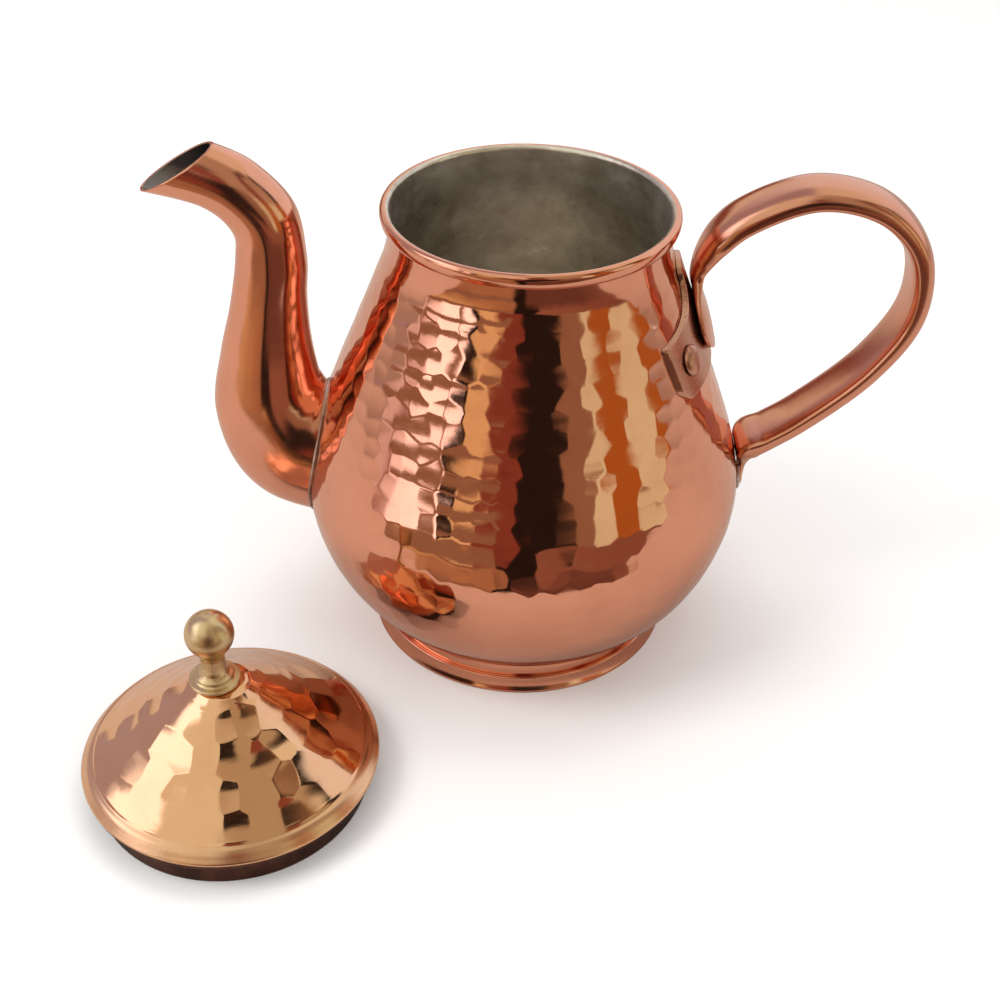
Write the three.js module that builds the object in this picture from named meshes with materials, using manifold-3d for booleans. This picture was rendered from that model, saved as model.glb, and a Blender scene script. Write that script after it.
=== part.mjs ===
// A hand-hammered copper coffee pot with a swan-neck spout, a loop handle and a loose domed lid.
// Units are millimetres and +Z is up. The origin is on the pot's axis at the level it stands on,
// the handle points along +X and the spout along -X. The lid stands beside the pot on its collar.

import * as THREE from 'three';
import { mergeVertices } from 'three/addons/utils/BufferGeometryUtils.js';
import Module from 'manifold-3d';

const wasm = await Module();
wasm.setup();

// ---------------------------------------------------------------- driving dimensions

const GAP = 0.3; // play left between pieces that touch, wrap or hold each other
const SHEET = 0.9; // copper sheet of the pot, the spout and the lid
const TURN = 2 * Math.PI;

// pot
const POT_HEIGHT = 152.3;
const RIM_RADIUS = 45.1;
const RIM_BEAD_RADIUS = 1.5;
const RIM_WIRE_RADIUS = 0.5;
const BELLY_RADIUS = 71.5;
const BELLY_HEIGHT = 56.3;
const WAIST_RADIUS = 46.8;
const WAIST_HEIGHT = 9.6;
const POT_SEGMENTS = 56;

// foot
const FOOT_RADIUS = 50.6;
const FOOT_TOP_RADIUS = 49; // the band leans in as it rises
const FOOT_HEIGHT = 5.3;
const FOOT_SHEET = 0.8;
const FOOT_SEAM_RADIUS = 47.6; // the wall's radius where it goes into the band

// spout, drawn in the XZ plane
const SPOUT_WALL = 0.9;
const SPOUT_SEGMENTS = 20;
const SPOUT_RINGS = 20;
const PORT_HALF_WIDTH = 9;
const PORT_HALF_HEIGHT = 12;
const PORT_Z = 66;

// handle
const HANDLE_HALF_WIDTH = 9.4;
const HANDLE_HALF_DEPTH = 3.75;
const HANDLE_SQUARENESS = 3; // exponent of the rounded-rectangle section
const HANDLE_SEGMENTS = 16;
const HANDLE_RINGS = 48;

// saddle plate that carries the handle's upper end
const PLATE_THICKNESS = 1.6;
const RIVET_ANGLE = THREE.MathUtils.degToRad(26); // each side of the handle's plane
const RIVET_Z = 113.4;
const RIVET_SHANK_RADIUS = 2.3;
const RIVET_HEAD_RADIUS = 4.7;
const RIVET_HEAD_HEIGHT = 1.9;
const CLINCH_RADIUS = 3.4;
const CLINCH_HEIGHT = 0.9;

// solder
const SPOUT_SOLDER_RADIUS = 1.7;
const TAB_SOLDER_RADIUS = 0.8;

// lid, drawn on its own axis with its collar's lower edge at height 0
const LID_X = -87.7;
const LID_Y = -89.3;
const LID_RADIUS = 45;
const LID_EDGE_Z = 10.6;
const LID_CREASE_RADIUS = 41.4;
const LID_CREASE_Z = 15.2;
const LID_TOP_Z = 40.6;
const COLLAR_RADIUS = 41.4;
const COLLAR_SHEET = 0.8;
const LID_SEGMENTS = 48;

// knob
const KNOB_OFFSET = -2.3; // the hand-drilled hole is a little off the lid's centre
const BALL_RADIUS = 7.2;
const BALL_Z = 58.8;
const STEM_RADIUS = 3.6;
const KNOB_FLANGE_RADIUS = 7.6;
const SPIGOT_RADIUS = 2.2;
const WASHER_RADIUS = 6;
const WASHER_THICKNESS = 1;
const KNOB_SEGMENTS = 20;

// ---------------------------------------------------------------- materials

const copper = new THREE.MeshStandardMaterial({ color: 0xc98262, roughness: 0.22, metalness: 1 });
const satinCopper = new THREE.MeshStandardMaterial({ color: 0xbd7656, roughness: 0.35, metalness: 1 });
const goldenCopper = new THREE.MeshStandardMaterial({ color: 0xd49a5f, roughness: 0.2, metalness: 1 });
const brass = new THREE.MeshStandardMaterial({ color: 0xc9a35a, roughness: 0.28, metalness: 1 });
const tin = new THREE.MeshStandardMaterial({ color: 0x9a9c94, roughness: 0.5, metalness: 1 });
const steel = new THREE.MeshStandardMaterial({ color: 0x77797b, roughness: 0.5, metalness: 1 });

// ---------------------------------------------------------------- solids

function point(x, y) {
  return new THREE.Vector2(x, y);
}

// A solid of revolution about Z; the outline runs up its outer side and down its inner side.
function revolve(outline, segments) {
  const loop = outline[0].x === 0 ? outline : [...outline, outline[0]];
  return new THREE.LatheGeometry(loop, segments).rotateX(Math.PI / 2);
}

function signedVolume(geometry) {
  const position = geometry.getAttribute('position');
  const index = geometry.getIndex();
  const corners = [new THREE.Vector3(), new THREE.Vector3(), new THREE.Vector3()];
  let sum = 0;
  for (let i = 0; i < index.count; i += 3) {
    corners.forEach((corner, k) => corner.fromBufferAttribute(position, index.getX(i + k)));
    sum += corners[0].dot(corners[1].cross(corners[2])) / 6;
  }
  return sum;
}

// A skin through rings of equal count; it is capped at both ends, or joined end to end as a loop.
function loft(rings, isLoop = false) {
  const count = rings[0].length;
  const vertices = rings.flat().flatMap((p) => [p.x, p.y, p.z]);
  const faces = [];
  const lastRing = isLoop ? rings.length : rings.length - 1;
  for (let i = 0; i < lastRing; i += 1) {
    for (let k = 0; k < count; k += 1) {
      const next = (k + 1) % count;
      const low = i * count;
      const high = ((i + 1) % rings.length) * count;
      faces.push(low + k, low + next, high + next, low + k, high + next, high + k);
    }
  }
  if (!isLoop) {
    for (const [ring, start, flip] of [[rings[0], 0, true], [rings.at(-1), lastRing * count, false]]) {
      const middle = new THREE.Vector3();
      ring.forEach((p) => middle.addScaledVector(p, 1 / count));
      const centre = vertices.length / 3;
      vertices.push(middle.x, middle.y, middle.z);
      for (let k = 0; k < count; k += 1) {
        const pair = [start + k, start + ((k + 1) % count)];
        faces.push(...(flip ? pair.reverse() : pair), centre);
      }
    }
  }
  const geometry = new THREE.BufferGeometry();
  geometry.setAttribute('position', new THREE.Float32BufferAttribute(vertices, 3));
  geometry.setIndex(faces);
  if (signedVolume(geometry) < 0) geometry.setIndex(faces.reverse());
  return geometry;
}

// A round bead along a list of points.
function bead(path, radius, isLoop) {
  const sides = 6;
  const rings = path.map((p, i) => {
    const before = path[isLoop ? (i + path.length - 1) % path.length : Math.max(i - 1, 0)];
    const after = path[isLoop ? (i + 1) % path.length : Math.min(i + 1, path.length - 1)];
    const along = after.clone().sub(before).normalize();
    const outward = new THREE.Vector3(p.x, p.y, 0).normalize();
    const side = along.clone().cross(outward).normalize();
    const lift = side.clone().cross(along);
    return Array.from({ length: sides }, (_, k) => {
      const angle = (TURN * k) / sides;
      return p.clone().addScaledVector(side, radius * Math.cos(angle))
        .addScaledVector(lift, radius * Math.sin(angle));
    });
  });
  return loft(rings, isLoop);
}

function toManifold(geometry) {
  const bare = geometry.clone();
  bare.deleteAttribute('normal');
  bare.deleteAttribute('uv');
  const merged = mergeVertices(bare, 1e-4);
  const vertProperties = new Float32Array(merged.getAttribute('position').array);
  const triVerts = new Uint32Array(merged.getIndex().array);
  return new wasm.Manifold(new wasm.Mesh({ numProp: 3, vertProperties, triVerts }));
}

function toGeometry(manifold) {
  const mesh = manifold.getMesh();
  const geometry = new THREE.BufferGeometry();
  geometry.setAttribute('position', new THREE.Float32BufferAttribute(mesh.vertProperties, 3));
  geometry.setIndex(Array.from(mesh.triVerts));
  return geometry;
}

function cut(geometry, ...tools) {
  let solid = toManifold(geometry);
  for (const tool of tools) solid = solid.subtract(toManifold(tool));
  return toGeometry(solid);
}

function common(geometryA, geometryB) {
  return toGeometry(toManifold(geometryA).intersect(toManifold(geometryB)));
}

function piece(name, geometry, material) {
  const mesh = new THREE.Mesh(geometry, material);
  mesh.name = name;
  return mesh;
}

// ---------------------------------------------------------------- the pot's wall

const NECK_RADIUS = RIM_RADIUS - 2 * RIM_BEAD_RADIUS + SHEET;
const NECK_TOP = POT_HEIGHT - RIM_BEAD_RADIUS;

// Outer surface of the lower edge, flared to sit inside the foot band.
const flareCurve = new THREE.SplineCurve([
  point(WAIST_RADIUS + 1.3, FOOT_SHEET + GAP + 0.8),
  point(FOOT_SEAM_RADIUS, FOOT_HEIGHT - 0.7),
  point(WAIST_RADIUS + 0.4, WAIST_HEIGHT - 2.6),
  point(WAIST_RADIUS, WAIST_HEIGHT),
]);
const FLARE_STEPS = 4;

// Outer surface from the waist over the belly to the straight neck.
const wallCurve = new THREE.SplineCurve([
  point(WAIST_RADIUS, WAIST_HEIGHT),
  point(49.2, 12),
  point(56.2, 17.6),
  point(64.8, 30),
  point(69.75, 43.1),
  point(BELLY_RADIUS, BELLY_HEIGHT),
  point(69.2, 70.3),
  point(63.9, 86.3),
  point(57.4, 103.1),
  point(50.6, 120),
  point(44.6, 135.6),
  point(NECK_RADIUS, 142.5),
  point(NECK_RADIUS, NECK_TOP),
]);
const WALL_STEPS = 16;

// A profile curve moved outward by a distance, as points from its start to its end.
function offsetCurve(curve, steps, distance) {
  return Array.from({ length: steps + 1 }, (_, i) => {
    const at = curve.getPointAt(i / steps);
    const along = curve.getTangentAt(i / steps);
    return point(at.x + along.y * distance, at.y - along.x * distance);
  });
}

function wallOffset(distance) {
  return offsetCurve(wallCurve, WALL_STEPS, distance);
}

function flareOffset(distance) {
  return offsetCurve(flareCurve, FLARE_STEPS, distance).slice(0, -1);
}

// Radius of the wall's outer surface at a height above the waist.
function wallRadius(z) {
  let low = 0;
  let high = 1;
  for (let i = 0; i < 40; i += 1) {
    const middle = (low + high) / 2;
    if (wallCurve.getPoint(middle).y < z) low = middle;
    else high = middle;
  }
  return wallCurve.getPoint(low).x;
}

// The rim is rolled outward over a wire: the inner skin becomes the outside of the roll.
function rimRoll(radius) {
  const centre = point(RIM_RADIUS - RIM_BEAD_RADIUS, NECK_TOP);
  const steps = 6;
  const start = Math.PI;
  const end = -Math.PI / 2;
  return Array.from({ length: steps + 1 }, (_, i) => {
    const angle = start + ((end - start) * i) / steps;
    return point(centre.x + radius * Math.cos(angle), centre.y + radius * Math.sin(angle));
  });
}

function bodyShell() {
  const outer = [...flareOffset(0), ...wallOffset(0).slice(0, -1)];
  const inner = [...flareOffset(-SHEET), ...wallOffset(-SHEET).slice(0, -1)];
  const rollInside = rimRoll(RIM_BEAD_RADIUS - SHEET);
  const rollOutside = rimRoll(RIM_BEAD_RADIUS);
  const outline = [...outer, ...rollInside, ...rollOutside.reverse(), ...inner.reverse()];
  const port = new THREE.CylinderGeometry(1, 1, 40, 24).rotateZ(Math.PI / 2);
  port.scale(1, PORT_HALF_WIDTH, PORT_HALF_HEIGHT);
  port.translate(-wallRadius(PORT_Z), 0, PORT_Z);
  return cut(revolve(outline, POT_SEGMENTS), port, ...rivetHoles());
}

function rimWire() {
  const middle = RIM_RADIUS - RIM_BEAD_RADIUS;
  return new THREE.TorusGeometry(middle, RIM_WIRE_RADIUS, 6, POT_SEGMENTS).translate(0, 0, NECK_TOP);
}

// Flat base whose edge stands up as the foot band and folds in close to the wall.
function baseDisc() {
  const lipRadius = FOOT_SEAM_RADIUS + GAP;
  const outline = [
    point(0, 0),
    point(FOOT_RADIUS - 0.4, 0),
    point(FOOT_RADIUS, 0.4),
    point(FOOT_TOP_RADIUS, FOOT_HEIGHT - 0.4),
    point(FOOT_TOP_RADIUS - 0.3, FOOT_HEIGHT),
    point(lipRadius, FOOT_HEIGHT),
    point(lipRadius, FOOT_HEIGHT - 0.5),
    point(FOOT_RADIUS - 1.5 * FOOT_SHEET, FOOT_SHEET + 0.4),
    point(FOOT_RADIUS - 2 * FOOT_SHEET, FOOT_SHEET),
    point(0, FOOT_SHEET),
  ];
  return revolve(outline, POT_SEGMENTS);
}

// ---------------------------------------------------------------- spout

// Lower and upper edges of the spout's side view, from inside the pot to the lip.
const lowerRail = new THREE.SplineCurve([
  point(-56, 40.8),
  point(-69.7, 40.8),
  point(-86.2, 47.2),
  point(-96.6, 60.5),
  point(-100.7, 80.4),
  point(-97, 100.5),
  point(-92.8, 116.3),
  point(-89.6, 133),
  point(-89.9, 142.6),
  point(-98.4, 150.6),
  point(-116, 155),
]);
const upperRail = new THREE.SplineCurve([
  point(-56, 84),
  point(-64.1, 86.4),
  point(-65, 88),
  point(-65.6, 89.6),
  point(-66.6, 92.6),
  point(-68.2, 105.4),
  point(-68.5, 119.7),
  point(-67.8, 133),
  point(-70.5, 150),
  point(-81.7, 162.9),
  point(-93.3, 168.9),
]);
const spoutHalfWidth = new THREE.SplineCurve([
  point(0, 19.5),
  point(1, 19),
  point(2, 18.2),
  point(3, 17.2),
  point(4, 15.8),
  point(5, 13.2),
  point(6, 11.6),
  point(7, 10.8),
  point(8, 10.3),
  point(9, 10),
  point(10, 9.4),
]);

// A point on the spout's skin: t runs from the pot to the lip, angle goes round the section.
function spoutPoint(t, angle, inset) {
  const low = lowerRail.getPoint(t);
  const high = upperRail.getPoint(t);
  const middle = low.clone().add(high).multiplyScalar(0.5);
  const up = high.clone().sub(low).normalize();
  const halfHeight = low.distanceTo(high) / 2 - inset;
  const halfWidth = spoutHalfWidth.getPoint(t).y - inset;
  const rise = halfHeight * Math.sin(angle);
  return new THREE.Vector3(middle.x + up.x * rise, halfWidth * Math.cos(angle), middle.y + up.y * rise);
}

function spoutRing(t, inset) {
  return Array.from({ length: SPOUT_SEGMENTS }, (_, k) => spoutPoint(t, (TURN * k) / SPOUT_SEGMENTS, inset));
}

// Everything inside the wall, and a little beyond it.
function potEnvelope() {
  return revolve([point(0, WAIST_HEIGHT), ...wallOffset(GAP), point(0, POT_HEIGHT)], POT_SEGMENTS);
}

function spout() {
  const steps = Array.from({ length: SPOUT_RINGS + 1 }, (_, i) => i / SPOUT_RINGS);
  const outside = steps.map((t) => spoutRing(t, 0));
  const inside = steps.map((t) => spoutRing(t, SPOUT_WALL));
  const tube = loft([...outside, ...inside.reverse()], true);
  return cut(tube, potEnvelope());
}

// The solder fills the corner between the spout's foot and the wall.
function spoutSolder() {
  const pathSteps = 28;
  const path = Array.from({ length: pathSteps }, (_, k) => {
    const angle = (TURN * k) / pathSteps;
    let inside = 0;
    let outside = 0.35;
    for (let i = 0; i < 40; i += 1) {
      const t = (inside + outside) / 2;
      const p = spoutPoint(t, angle, 0);
      if (Math.hypot(p.x, p.y) < wallRadius(p.z)) inside = t;
      else outside = t;
    }
    return spoutPoint(outside, angle, 0);
  });
  const steps = Array.from({ length: SPOUT_RINGS + 1 }, (_, i) => i / SPOUT_RINGS);
  const fullSpout = loft(steps.map((t) => spoutRing(t, -GAP)));
  return cut(bead(path, SPOUT_SOLDER_RADIUS, true), fullSpout, potEnvelope());
}

// ---------------------------------------------------------------- handle

// Middle line of the strap in the XZ plane, with its half width and half depth at each point.
const handleStations = [
  { x: 58.4, z: 108, width: 6.4, depth: 0.9 },
  { x: 58.2, z: 111.4, width: 12, depth: 1.9 },
  { x: 56.4, z: 117.5, width: 14.4, depth: 2.2 },
  { x: 53.1, z: 125.6, width: 10.6, depth: 2.1 },
  { x: 51.6, z: 130.8, width: 6.2, depth: 2.1 },
  { x: 53.1, z: 136.2, width: 7, depth: 3 },
  { x: 56.8, z: 143, width: 8.8, depth: 3.9 },
  { x: 63.8, z: 150, width: HANDLE_HALF_WIDTH, depth: 4 },
  { x: 84.4, z: 158.4, width: HANDLE_HALF_WIDTH, depth: HANDLE_HALF_DEPTH },
  { x: 105, z: 154, width: HANDLE_HALF_WIDTH, depth: HANDLE_HALF_DEPTH },
  { x: 117.3, z: 140.6, width: HANDLE_HALF_WIDTH, depth: HANDLE_HALF_DEPTH },
  { x: 119.4, z: 120, width: HANDLE_HALF_WIDTH, depth: HANDLE_HALF_DEPTH },
  { x: 108.9, z: 99.4, width: HANDLE_HALF_WIDTH, depth: HANDLE_HALF_DEPTH },
  { x: 88.6, z: 79.2, width: HANDLE_HALF_WIDTH, depth: HANDLE_HALF_DEPTH },
  { x: 79.8, z: 72.7, width: HANDLE_HALF_WIDTH, depth: 3.8 },
  { x: 74, z: 68.4, width: 9, depth: 4.4 },
  { x: 73.1, z: 62.6, width: 5.2, depth: 1.7 },
  { x: 72.9, z: 58.4, width: 4.8, depth: 0.9 },
  { x: 72.9, z: 54.6, width: 4.6, depth: 0.8 },
];
const handleLine = new THREE.CatmullRomCurve3(
  handleStations.map((s) => new THREE.Vector3(s.x, 0, s.z)), false, 'centripetal');
const handleSize = new THREE.SplineCurve(handleStations.map((s) => point(s.width, s.depth)));

// Share of the wall's curve that the strap takes on: all of it where the strap lies on the pot.
function wrapShare(middle) {
  const distance = middle.x - wallRadius(middle.z);
  return 1 - THREE.MathUtils.smoothstep(distance, 5.5, 11);
}

function roundedSide(cosine) {
  return Math.sign(cosine) * Math.abs(cosine) ** (2 / HANDLE_SQUARENESS);
}

function handleRing(t) {
  const middle = handleLine.getPoint(t);
  const along = handleLine.getTangent(t);
  const outward = new THREE.Vector3(-along.z, 0, along.x);
  const size = handleSize.getPoint(t);
  const share = wrapShare(middle);
  return Array.from({ length: HANDLE_SEGMENTS }, (_, k) => {
    const angle = (TURN * k) / HANDLE_SEGMENTS;
    const across = size.x * roundedSide(Math.cos(angle));
    const rise = size.y * roundedSide(Math.sin(angle));
    const sag = middle.x - Math.sqrt(middle.x ** 2 - across ** 2);
    const place = middle.clone().addScaledVector(outward, rise).add(new THREE.Vector3(-sag * share, across, 0));
    const nearest = Math.sqrt(Math.max((wallRadius(place.z) + GAP) ** 2 - across ** 2, 0));
    place.x = Math.max(place.x, nearest);
    return place;
  });
}

function handleStrap() {
  return loft(Array.from({ length: HANDLE_RINGS + 1 }, (_, i) => handleRing(i / HANDLE_RINGS)));
}

// Half of the saddle plate's outline as (distance across, height); the other half mirrors it.
function plateShape() {
  const bottom = 104.5;
  const tipAcross = 32;
  const cornerAcross = 31.8;
  const cornerHeight = 121.9;
  const neckAcross = 7.5;
  const neckHeight = 132;
  const top = 136.5;
  const shape = new THREE.Shape();
  shape.moveTo(-tipAcross + 2, bottom);
  shape.quadraticCurveTo(0, bottom + 1.5, tipAcross - 2, bottom);
  shape.quadraticCurveTo(tipAcross + 0.5, bottom + 0.5, tipAcross + 0.8, bottom + 4);
  shape.lineTo(cornerAcross, cornerHeight - 1.5);
  shape.quadraticCurveTo(cornerAcross, cornerHeight, cornerAcross - 2, cornerHeight);
  shape.bezierCurveTo(20, cornerHeight + 1.5, 10.5, 125, neckAcross, neckHeight);
  shape.quadraticCurveTo(neckAcross, top, 0, top);
  shape.quadraticCurveTo(-neckAcross, top, -neckAcross, neckHeight);
  shape.bezierCurveTo(-10.5, 125, -20, cornerHeight + 1.5, -cornerAcross + 2, cornerHeight);
  shape.quadraticCurveTo(-cornerAcross, cornerHeight, -cornerAcross, cornerHeight - 1.5);
  shape.lineTo(-tipAcross - 0.8, bottom + 4);
  shape.quadraticCurveTo(-tipAcross - 0.5, bottom + 0.5, -tipAcross + 2, bottom);
  return shape;
}

function handlePlate() {
  const reach = RIM_RADIUS + BELLY_RADIUS;
  const prism = new THREE.ExtrudeGeometry(plateShape(), { depth: reach, bevelEnabled: false, curveSegments: 5 });
  const shapeToSide = new THREE.Matrix4().makeBasis(
    new THREE.Vector3(0, 1, 0), new THREE.Vector3(0, 0, 1), new THREE.Vector3(1, 0, 0));
  prism.applyMatrix4(shapeToSide);
  const inner = wallOffset(GAP);
  const outer = wallOffset(GAP + PLATE_THICKNESS);
  const shell = revolve([...outer, ...inner.reverse()], POT_SEGMENTS);
  return cut(common(prism, shell), ...rivetHoles());
}

// ---------------------------------------------------------------- rivets

// Each rivet stands square to the wall, one each side of the handle.
function rivetPlace(side) {
  const radius = wallRadius(RIVET_Z);
  const slope = (wallRadius(RIVET_Z - 1) - wallRadius(RIVET_Z + 1)) / 2;
  const angle = side * RIVET_ANGLE;
  const at = new THREE.Vector3(radius * Math.cos(angle), radius * Math.sin(angle), RIVET_Z);
  const outward = new THREE.Vector3(Math.cos(angle), Math.sin(angle), slope).normalize();
  const turn = new THREE.Quaternion().setFromUnitVectors(new THREE.Vector3(0, 0, 1), outward);
  return new THREE.Matrix4().compose(at, turn, new THREE.Vector3(1, 1, 1));
}

function rivetHoles() {
  return [-1, 1].map((side) => {
    const drill = new THREE.CylinderGeometry(RIVET_SHANK_RADIUS + GAP, RIVET_SHANK_RADIUS + GAP, 12, 16);
    return drill.rotateX(Math.PI / 2).applyMatrix4(rivetPlace(side));
  });
}

function rivet() {
  const under = PLATE_THICKNESS + 2 * GAP + 0.1;
  const back = -SHEET - GAP - 0.1;
  const dome = Array.from({ length: 4 }, (_, i) => {
    const angle = (Math.PI / 2) * (i / 4);
    return point(RIVET_HEAD_RADIUS * Math.cos(angle), under + RIVET_HEAD_HEIGHT * Math.sin(angle));
  });
  const outline = [
    point(0, back - CLINCH_HEIGHT),
    point(CLINCH_RADIUS - 0.6, back - CLINCH_HEIGHT),
    point(CLINCH_RADIUS, back),
    point(RIVET_SHANK_RADIUS, back),
    point(RIVET_SHANK_RADIUS, under),
    ...dome,
    point(0, under + RIVET_HEAD_HEIGHT),
  ];
  return revolve(outline, 16);
}

function rivetPiece(name, side) {
  const mesh = piece(name, rivet(), copper);
  rivetPlace(side).decompose(mesh.position, mesh.quaternion, mesh.scale);
  return mesh;
}

// Solder down both sides and across the end of the handle's lower tab.
function tabSolder() {
  const across = 6.4;
  const top = 62;
  const bottom = 53;
  const clear = GAP + TAB_SOLDER_RADIUS;
  const outline = [
    [-across, top], [-across, top - 3], [-across, bottom + 2], [-across + 1.6, bottom], [0, bottom],
    [across - 1.6, bottom], [across, bottom + 2], [across, top - 3], [across, top],
  ];
  const path = outline.map(([y, z]) => {
    const reach = wallRadius(z) + clear;
    return new THREE.Vector3(Math.sqrt(reach ** 2 - y ** 2), y, z);
  });
  return bead(path, TAB_SOLDER_RADIUS, false);
}

// ---------------------------------------------------------------- lid

const SPIGOT_HOLE_RADIUS = SPIGOT_RADIUS + GAP;
const DOME_STEPS = 11;

// Outer line of the lid from the brim's lower edge, over the crease, to the flat under the knob.
const lidCurve = new THREE.SplineCurve([
  point(LID_RADIUS, LID_EDGE_Z + 0.8),
  point(43.9, 12.7),
  point(LID_CREASE_RADIUS, LID_CREASE_Z),
  point(37.3, 18.4),
  point(31.2, 23.3),
  point(24.3, 28.4),
  point(17.4, 33.8),
  point(12, 37.8),
  point(KNOB_FLANGE_RADIUS + 0.6, LID_TOP_Z),
]);

function lidOffset(distance) {
  return offsetCurve(lidCurve, DOME_STEPS, distance);
}

function lidDome() {
  const outline = [
    point(0, LID_TOP_Z - SHEET),
    ...lidOffset(-SHEET).reverse(),
    point(LID_RADIUS - SHEET, LID_EDGE_Z),
    point(LID_RADIUS, LID_EDGE_Z),
    ...lidOffset(0),
    point(0, LID_TOP_Z),
  ];
  const drill = new THREE.CylinderGeometry(SPIGOT_HOLE_RADIUS, SPIGOT_HOLE_RADIUS, 10, KNOB_SEGMENTS);
  drill.rotateX(Math.PI / 2).translate(KNOB_OFFSET, 0, LID_TOP_Z);
  return cut(revolve(outline, LID_SEGMENTS), drill);
}

// Collar that drops into the pot's mouth, with an out-turned flange soldered under the brim.
function lidCollar() {
  const flangeTop = LID_EDGE_Z - GAP;
  const flangeRadius = LID_RADIUS - 0.4;
  const outline = [
    point(COLLAR_RADIUS - COLLAR_SHEET, 0),
    point(COLLAR_RADIUS, 0),
    point(COLLAR_RADIUS, flangeTop - COLLAR_SHEET),
    point(flangeRadius, flangeTop - COLLAR_SHEET),
    point(flangeRadius, flangeTop),
    point(COLLAR_RADIUS - COLLAR_SHEET, flangeTop),
  ];
  return revolve(outline, LID_SEGMENTS);
}

function knobBall() {
  const ball = new THREE.SphereGeometry(BALL_RADIUS, KNOB_SEGMENTS, 12).rotateX(Math.PI / 2);
  return ball.translate(0, 0, BALL_Z);
}

// Turned foot of the knob: flange, step, cove, stem and the spigot that goes through the lid.
function knobStem() {
  const flangeBottom = LID_TOP_Z + GAP;
  const spigotEnd = LID_TOP_Z - SHEET - 2 * GAP - WASHER_THICKNESS;
  const outline = [
    point(0, spigotEnd),
    point(SPIGOT_RADIUS, spigotEnd),
    point(SPIGOT_RADIUS, flangeBottom),
    point(KNOB_FLANGE_RADIUS, flangeBottom),
    point(KNOB_FLANGE_RADIUS, flangeBottom + 1.3),
    point(5.4, flangeBottom + 1.8),
    point(5.2, flangeBottom + 3),
    point(STEM_RADIUS + 0.2, flangeBottom + 4.4),
    point(STEM_RADIUS, BALL_Z - BALL_RADIUS - 1),
    point(2.4, BALL_Z - BALL_RADIUS - GAP),
    point(0, BALL_Z - BALL_RADIUS - GAP),
  ];
  return revolve(outline, KNOB_SEGMENTS);
}

function knobWasher() {
  const top = LID_TOP_Z - SHEET - GAP;
  const outline = [
    point(SPIGOT_HOLE_RADIUS, top - WASHER_THICKNESS),
    point(WASHER_RADIUS, top - WASHER_THICKNESS),
    point(WASHER_RADIUS, top),
    point(SPIGOT_HOLE_RADIUS, top),
  ];
  return revolve(outline, KNOB_SEGMENTS);
}

// ---------------------------------------------------------------- assembly

const pot = new THREE.Group();
pot.add(piece('body_shell', bodyShell(), copper));
pot.add(piece('rim_wire', rimWire(), steel));
pot.add(piece('base_disc', baseDisc(), copper));
pot.add(piece('spout', spout(), copper));
pot.add(piece('spout_solder', spoutSolder(), tin));
pot.add(piece('handle_strap', handleStrap(), satinCopper));
pot.add(piece('handle_plate', handlePlate(), copper));
pot.add(rivetPiece('rivet_front', -1));
pot.add(rivetPiece('rivet_back', 1));
pot.add(piece('handle_tab_solder', tabSolder(), tin));

const lid = new THREE.Group();
lid.position.set(LID_X, LID_Y, 0);
lid.add(piece('lid_dome', lidDome(), goldenCopper));
lid.add(piece('lid_collar', lidCollar(), copper));

const knob = new THREE.Group();
knob.position.set(KNOB_OFFSET, 0, 0);
knob.add(piece('knob_ball', knobBall(), brass));
knob.add(piece('knob_stem', knobStem(), brass));
knob.add(piece('knob_washer', knobWasher(), brass));
lid.add(knob);

const group = new THREE.Group();
group.add(pot, lid);

export default group;
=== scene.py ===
"""The look of a hammered copper coffee pot and its loose lid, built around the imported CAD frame.

Lengths in the outlines below are millimetres; every mesh is scaled to metres as it is made.
The pot stands on z = 0 with its axis at x = y = 0, its handle along +X and its spout along -X.
"""

import math

import bpy
import numpy as np
from mathutils import Matrix, Vector


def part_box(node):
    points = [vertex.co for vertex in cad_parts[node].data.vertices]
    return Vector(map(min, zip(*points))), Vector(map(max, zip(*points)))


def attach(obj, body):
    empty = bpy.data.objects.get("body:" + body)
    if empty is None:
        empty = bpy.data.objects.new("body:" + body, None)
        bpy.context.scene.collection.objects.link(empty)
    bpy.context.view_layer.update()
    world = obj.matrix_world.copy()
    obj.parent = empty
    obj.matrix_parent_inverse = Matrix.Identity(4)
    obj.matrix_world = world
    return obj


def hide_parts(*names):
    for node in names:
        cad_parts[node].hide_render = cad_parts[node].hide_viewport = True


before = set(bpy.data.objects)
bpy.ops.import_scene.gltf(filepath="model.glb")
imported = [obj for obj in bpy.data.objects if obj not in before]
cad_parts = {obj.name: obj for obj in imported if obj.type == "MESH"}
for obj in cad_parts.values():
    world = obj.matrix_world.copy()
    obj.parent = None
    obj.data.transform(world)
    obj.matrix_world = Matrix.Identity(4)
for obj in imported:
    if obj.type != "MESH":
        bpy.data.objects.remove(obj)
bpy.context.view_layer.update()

MM = 0.001
TURN = 2 * math.pi


# ---------------------------------------------------------------- sizes taken from the frame


def node_box(node):
    """Lowest and highest corner of a CAD node, in millimetres."""
    low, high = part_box(node)
    return np.array(low) / MM, np.array(high) / MM


WIRE_LOW, WIRE_HIGH = node_box("rim_wire")
FOOT_HIGH = node_box("base_disc")[1]
BODY_HIGH = node_box("body_shell")[1]
DOME_LOW, DOME_HIGH = node_box("lid_dome")
COLLAR_HIGH = node_box("lid_collar")[1]
BALL_LOW, BALL_HIGH = node_box("knob_ball")
STEM_LOW, STEM_HIGH = node_box("knob_stem")

SHEET = 0.9  # copper sheet of the pot, the spout and the lid
GAP = 0.3  # play between pieces that touch

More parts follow.
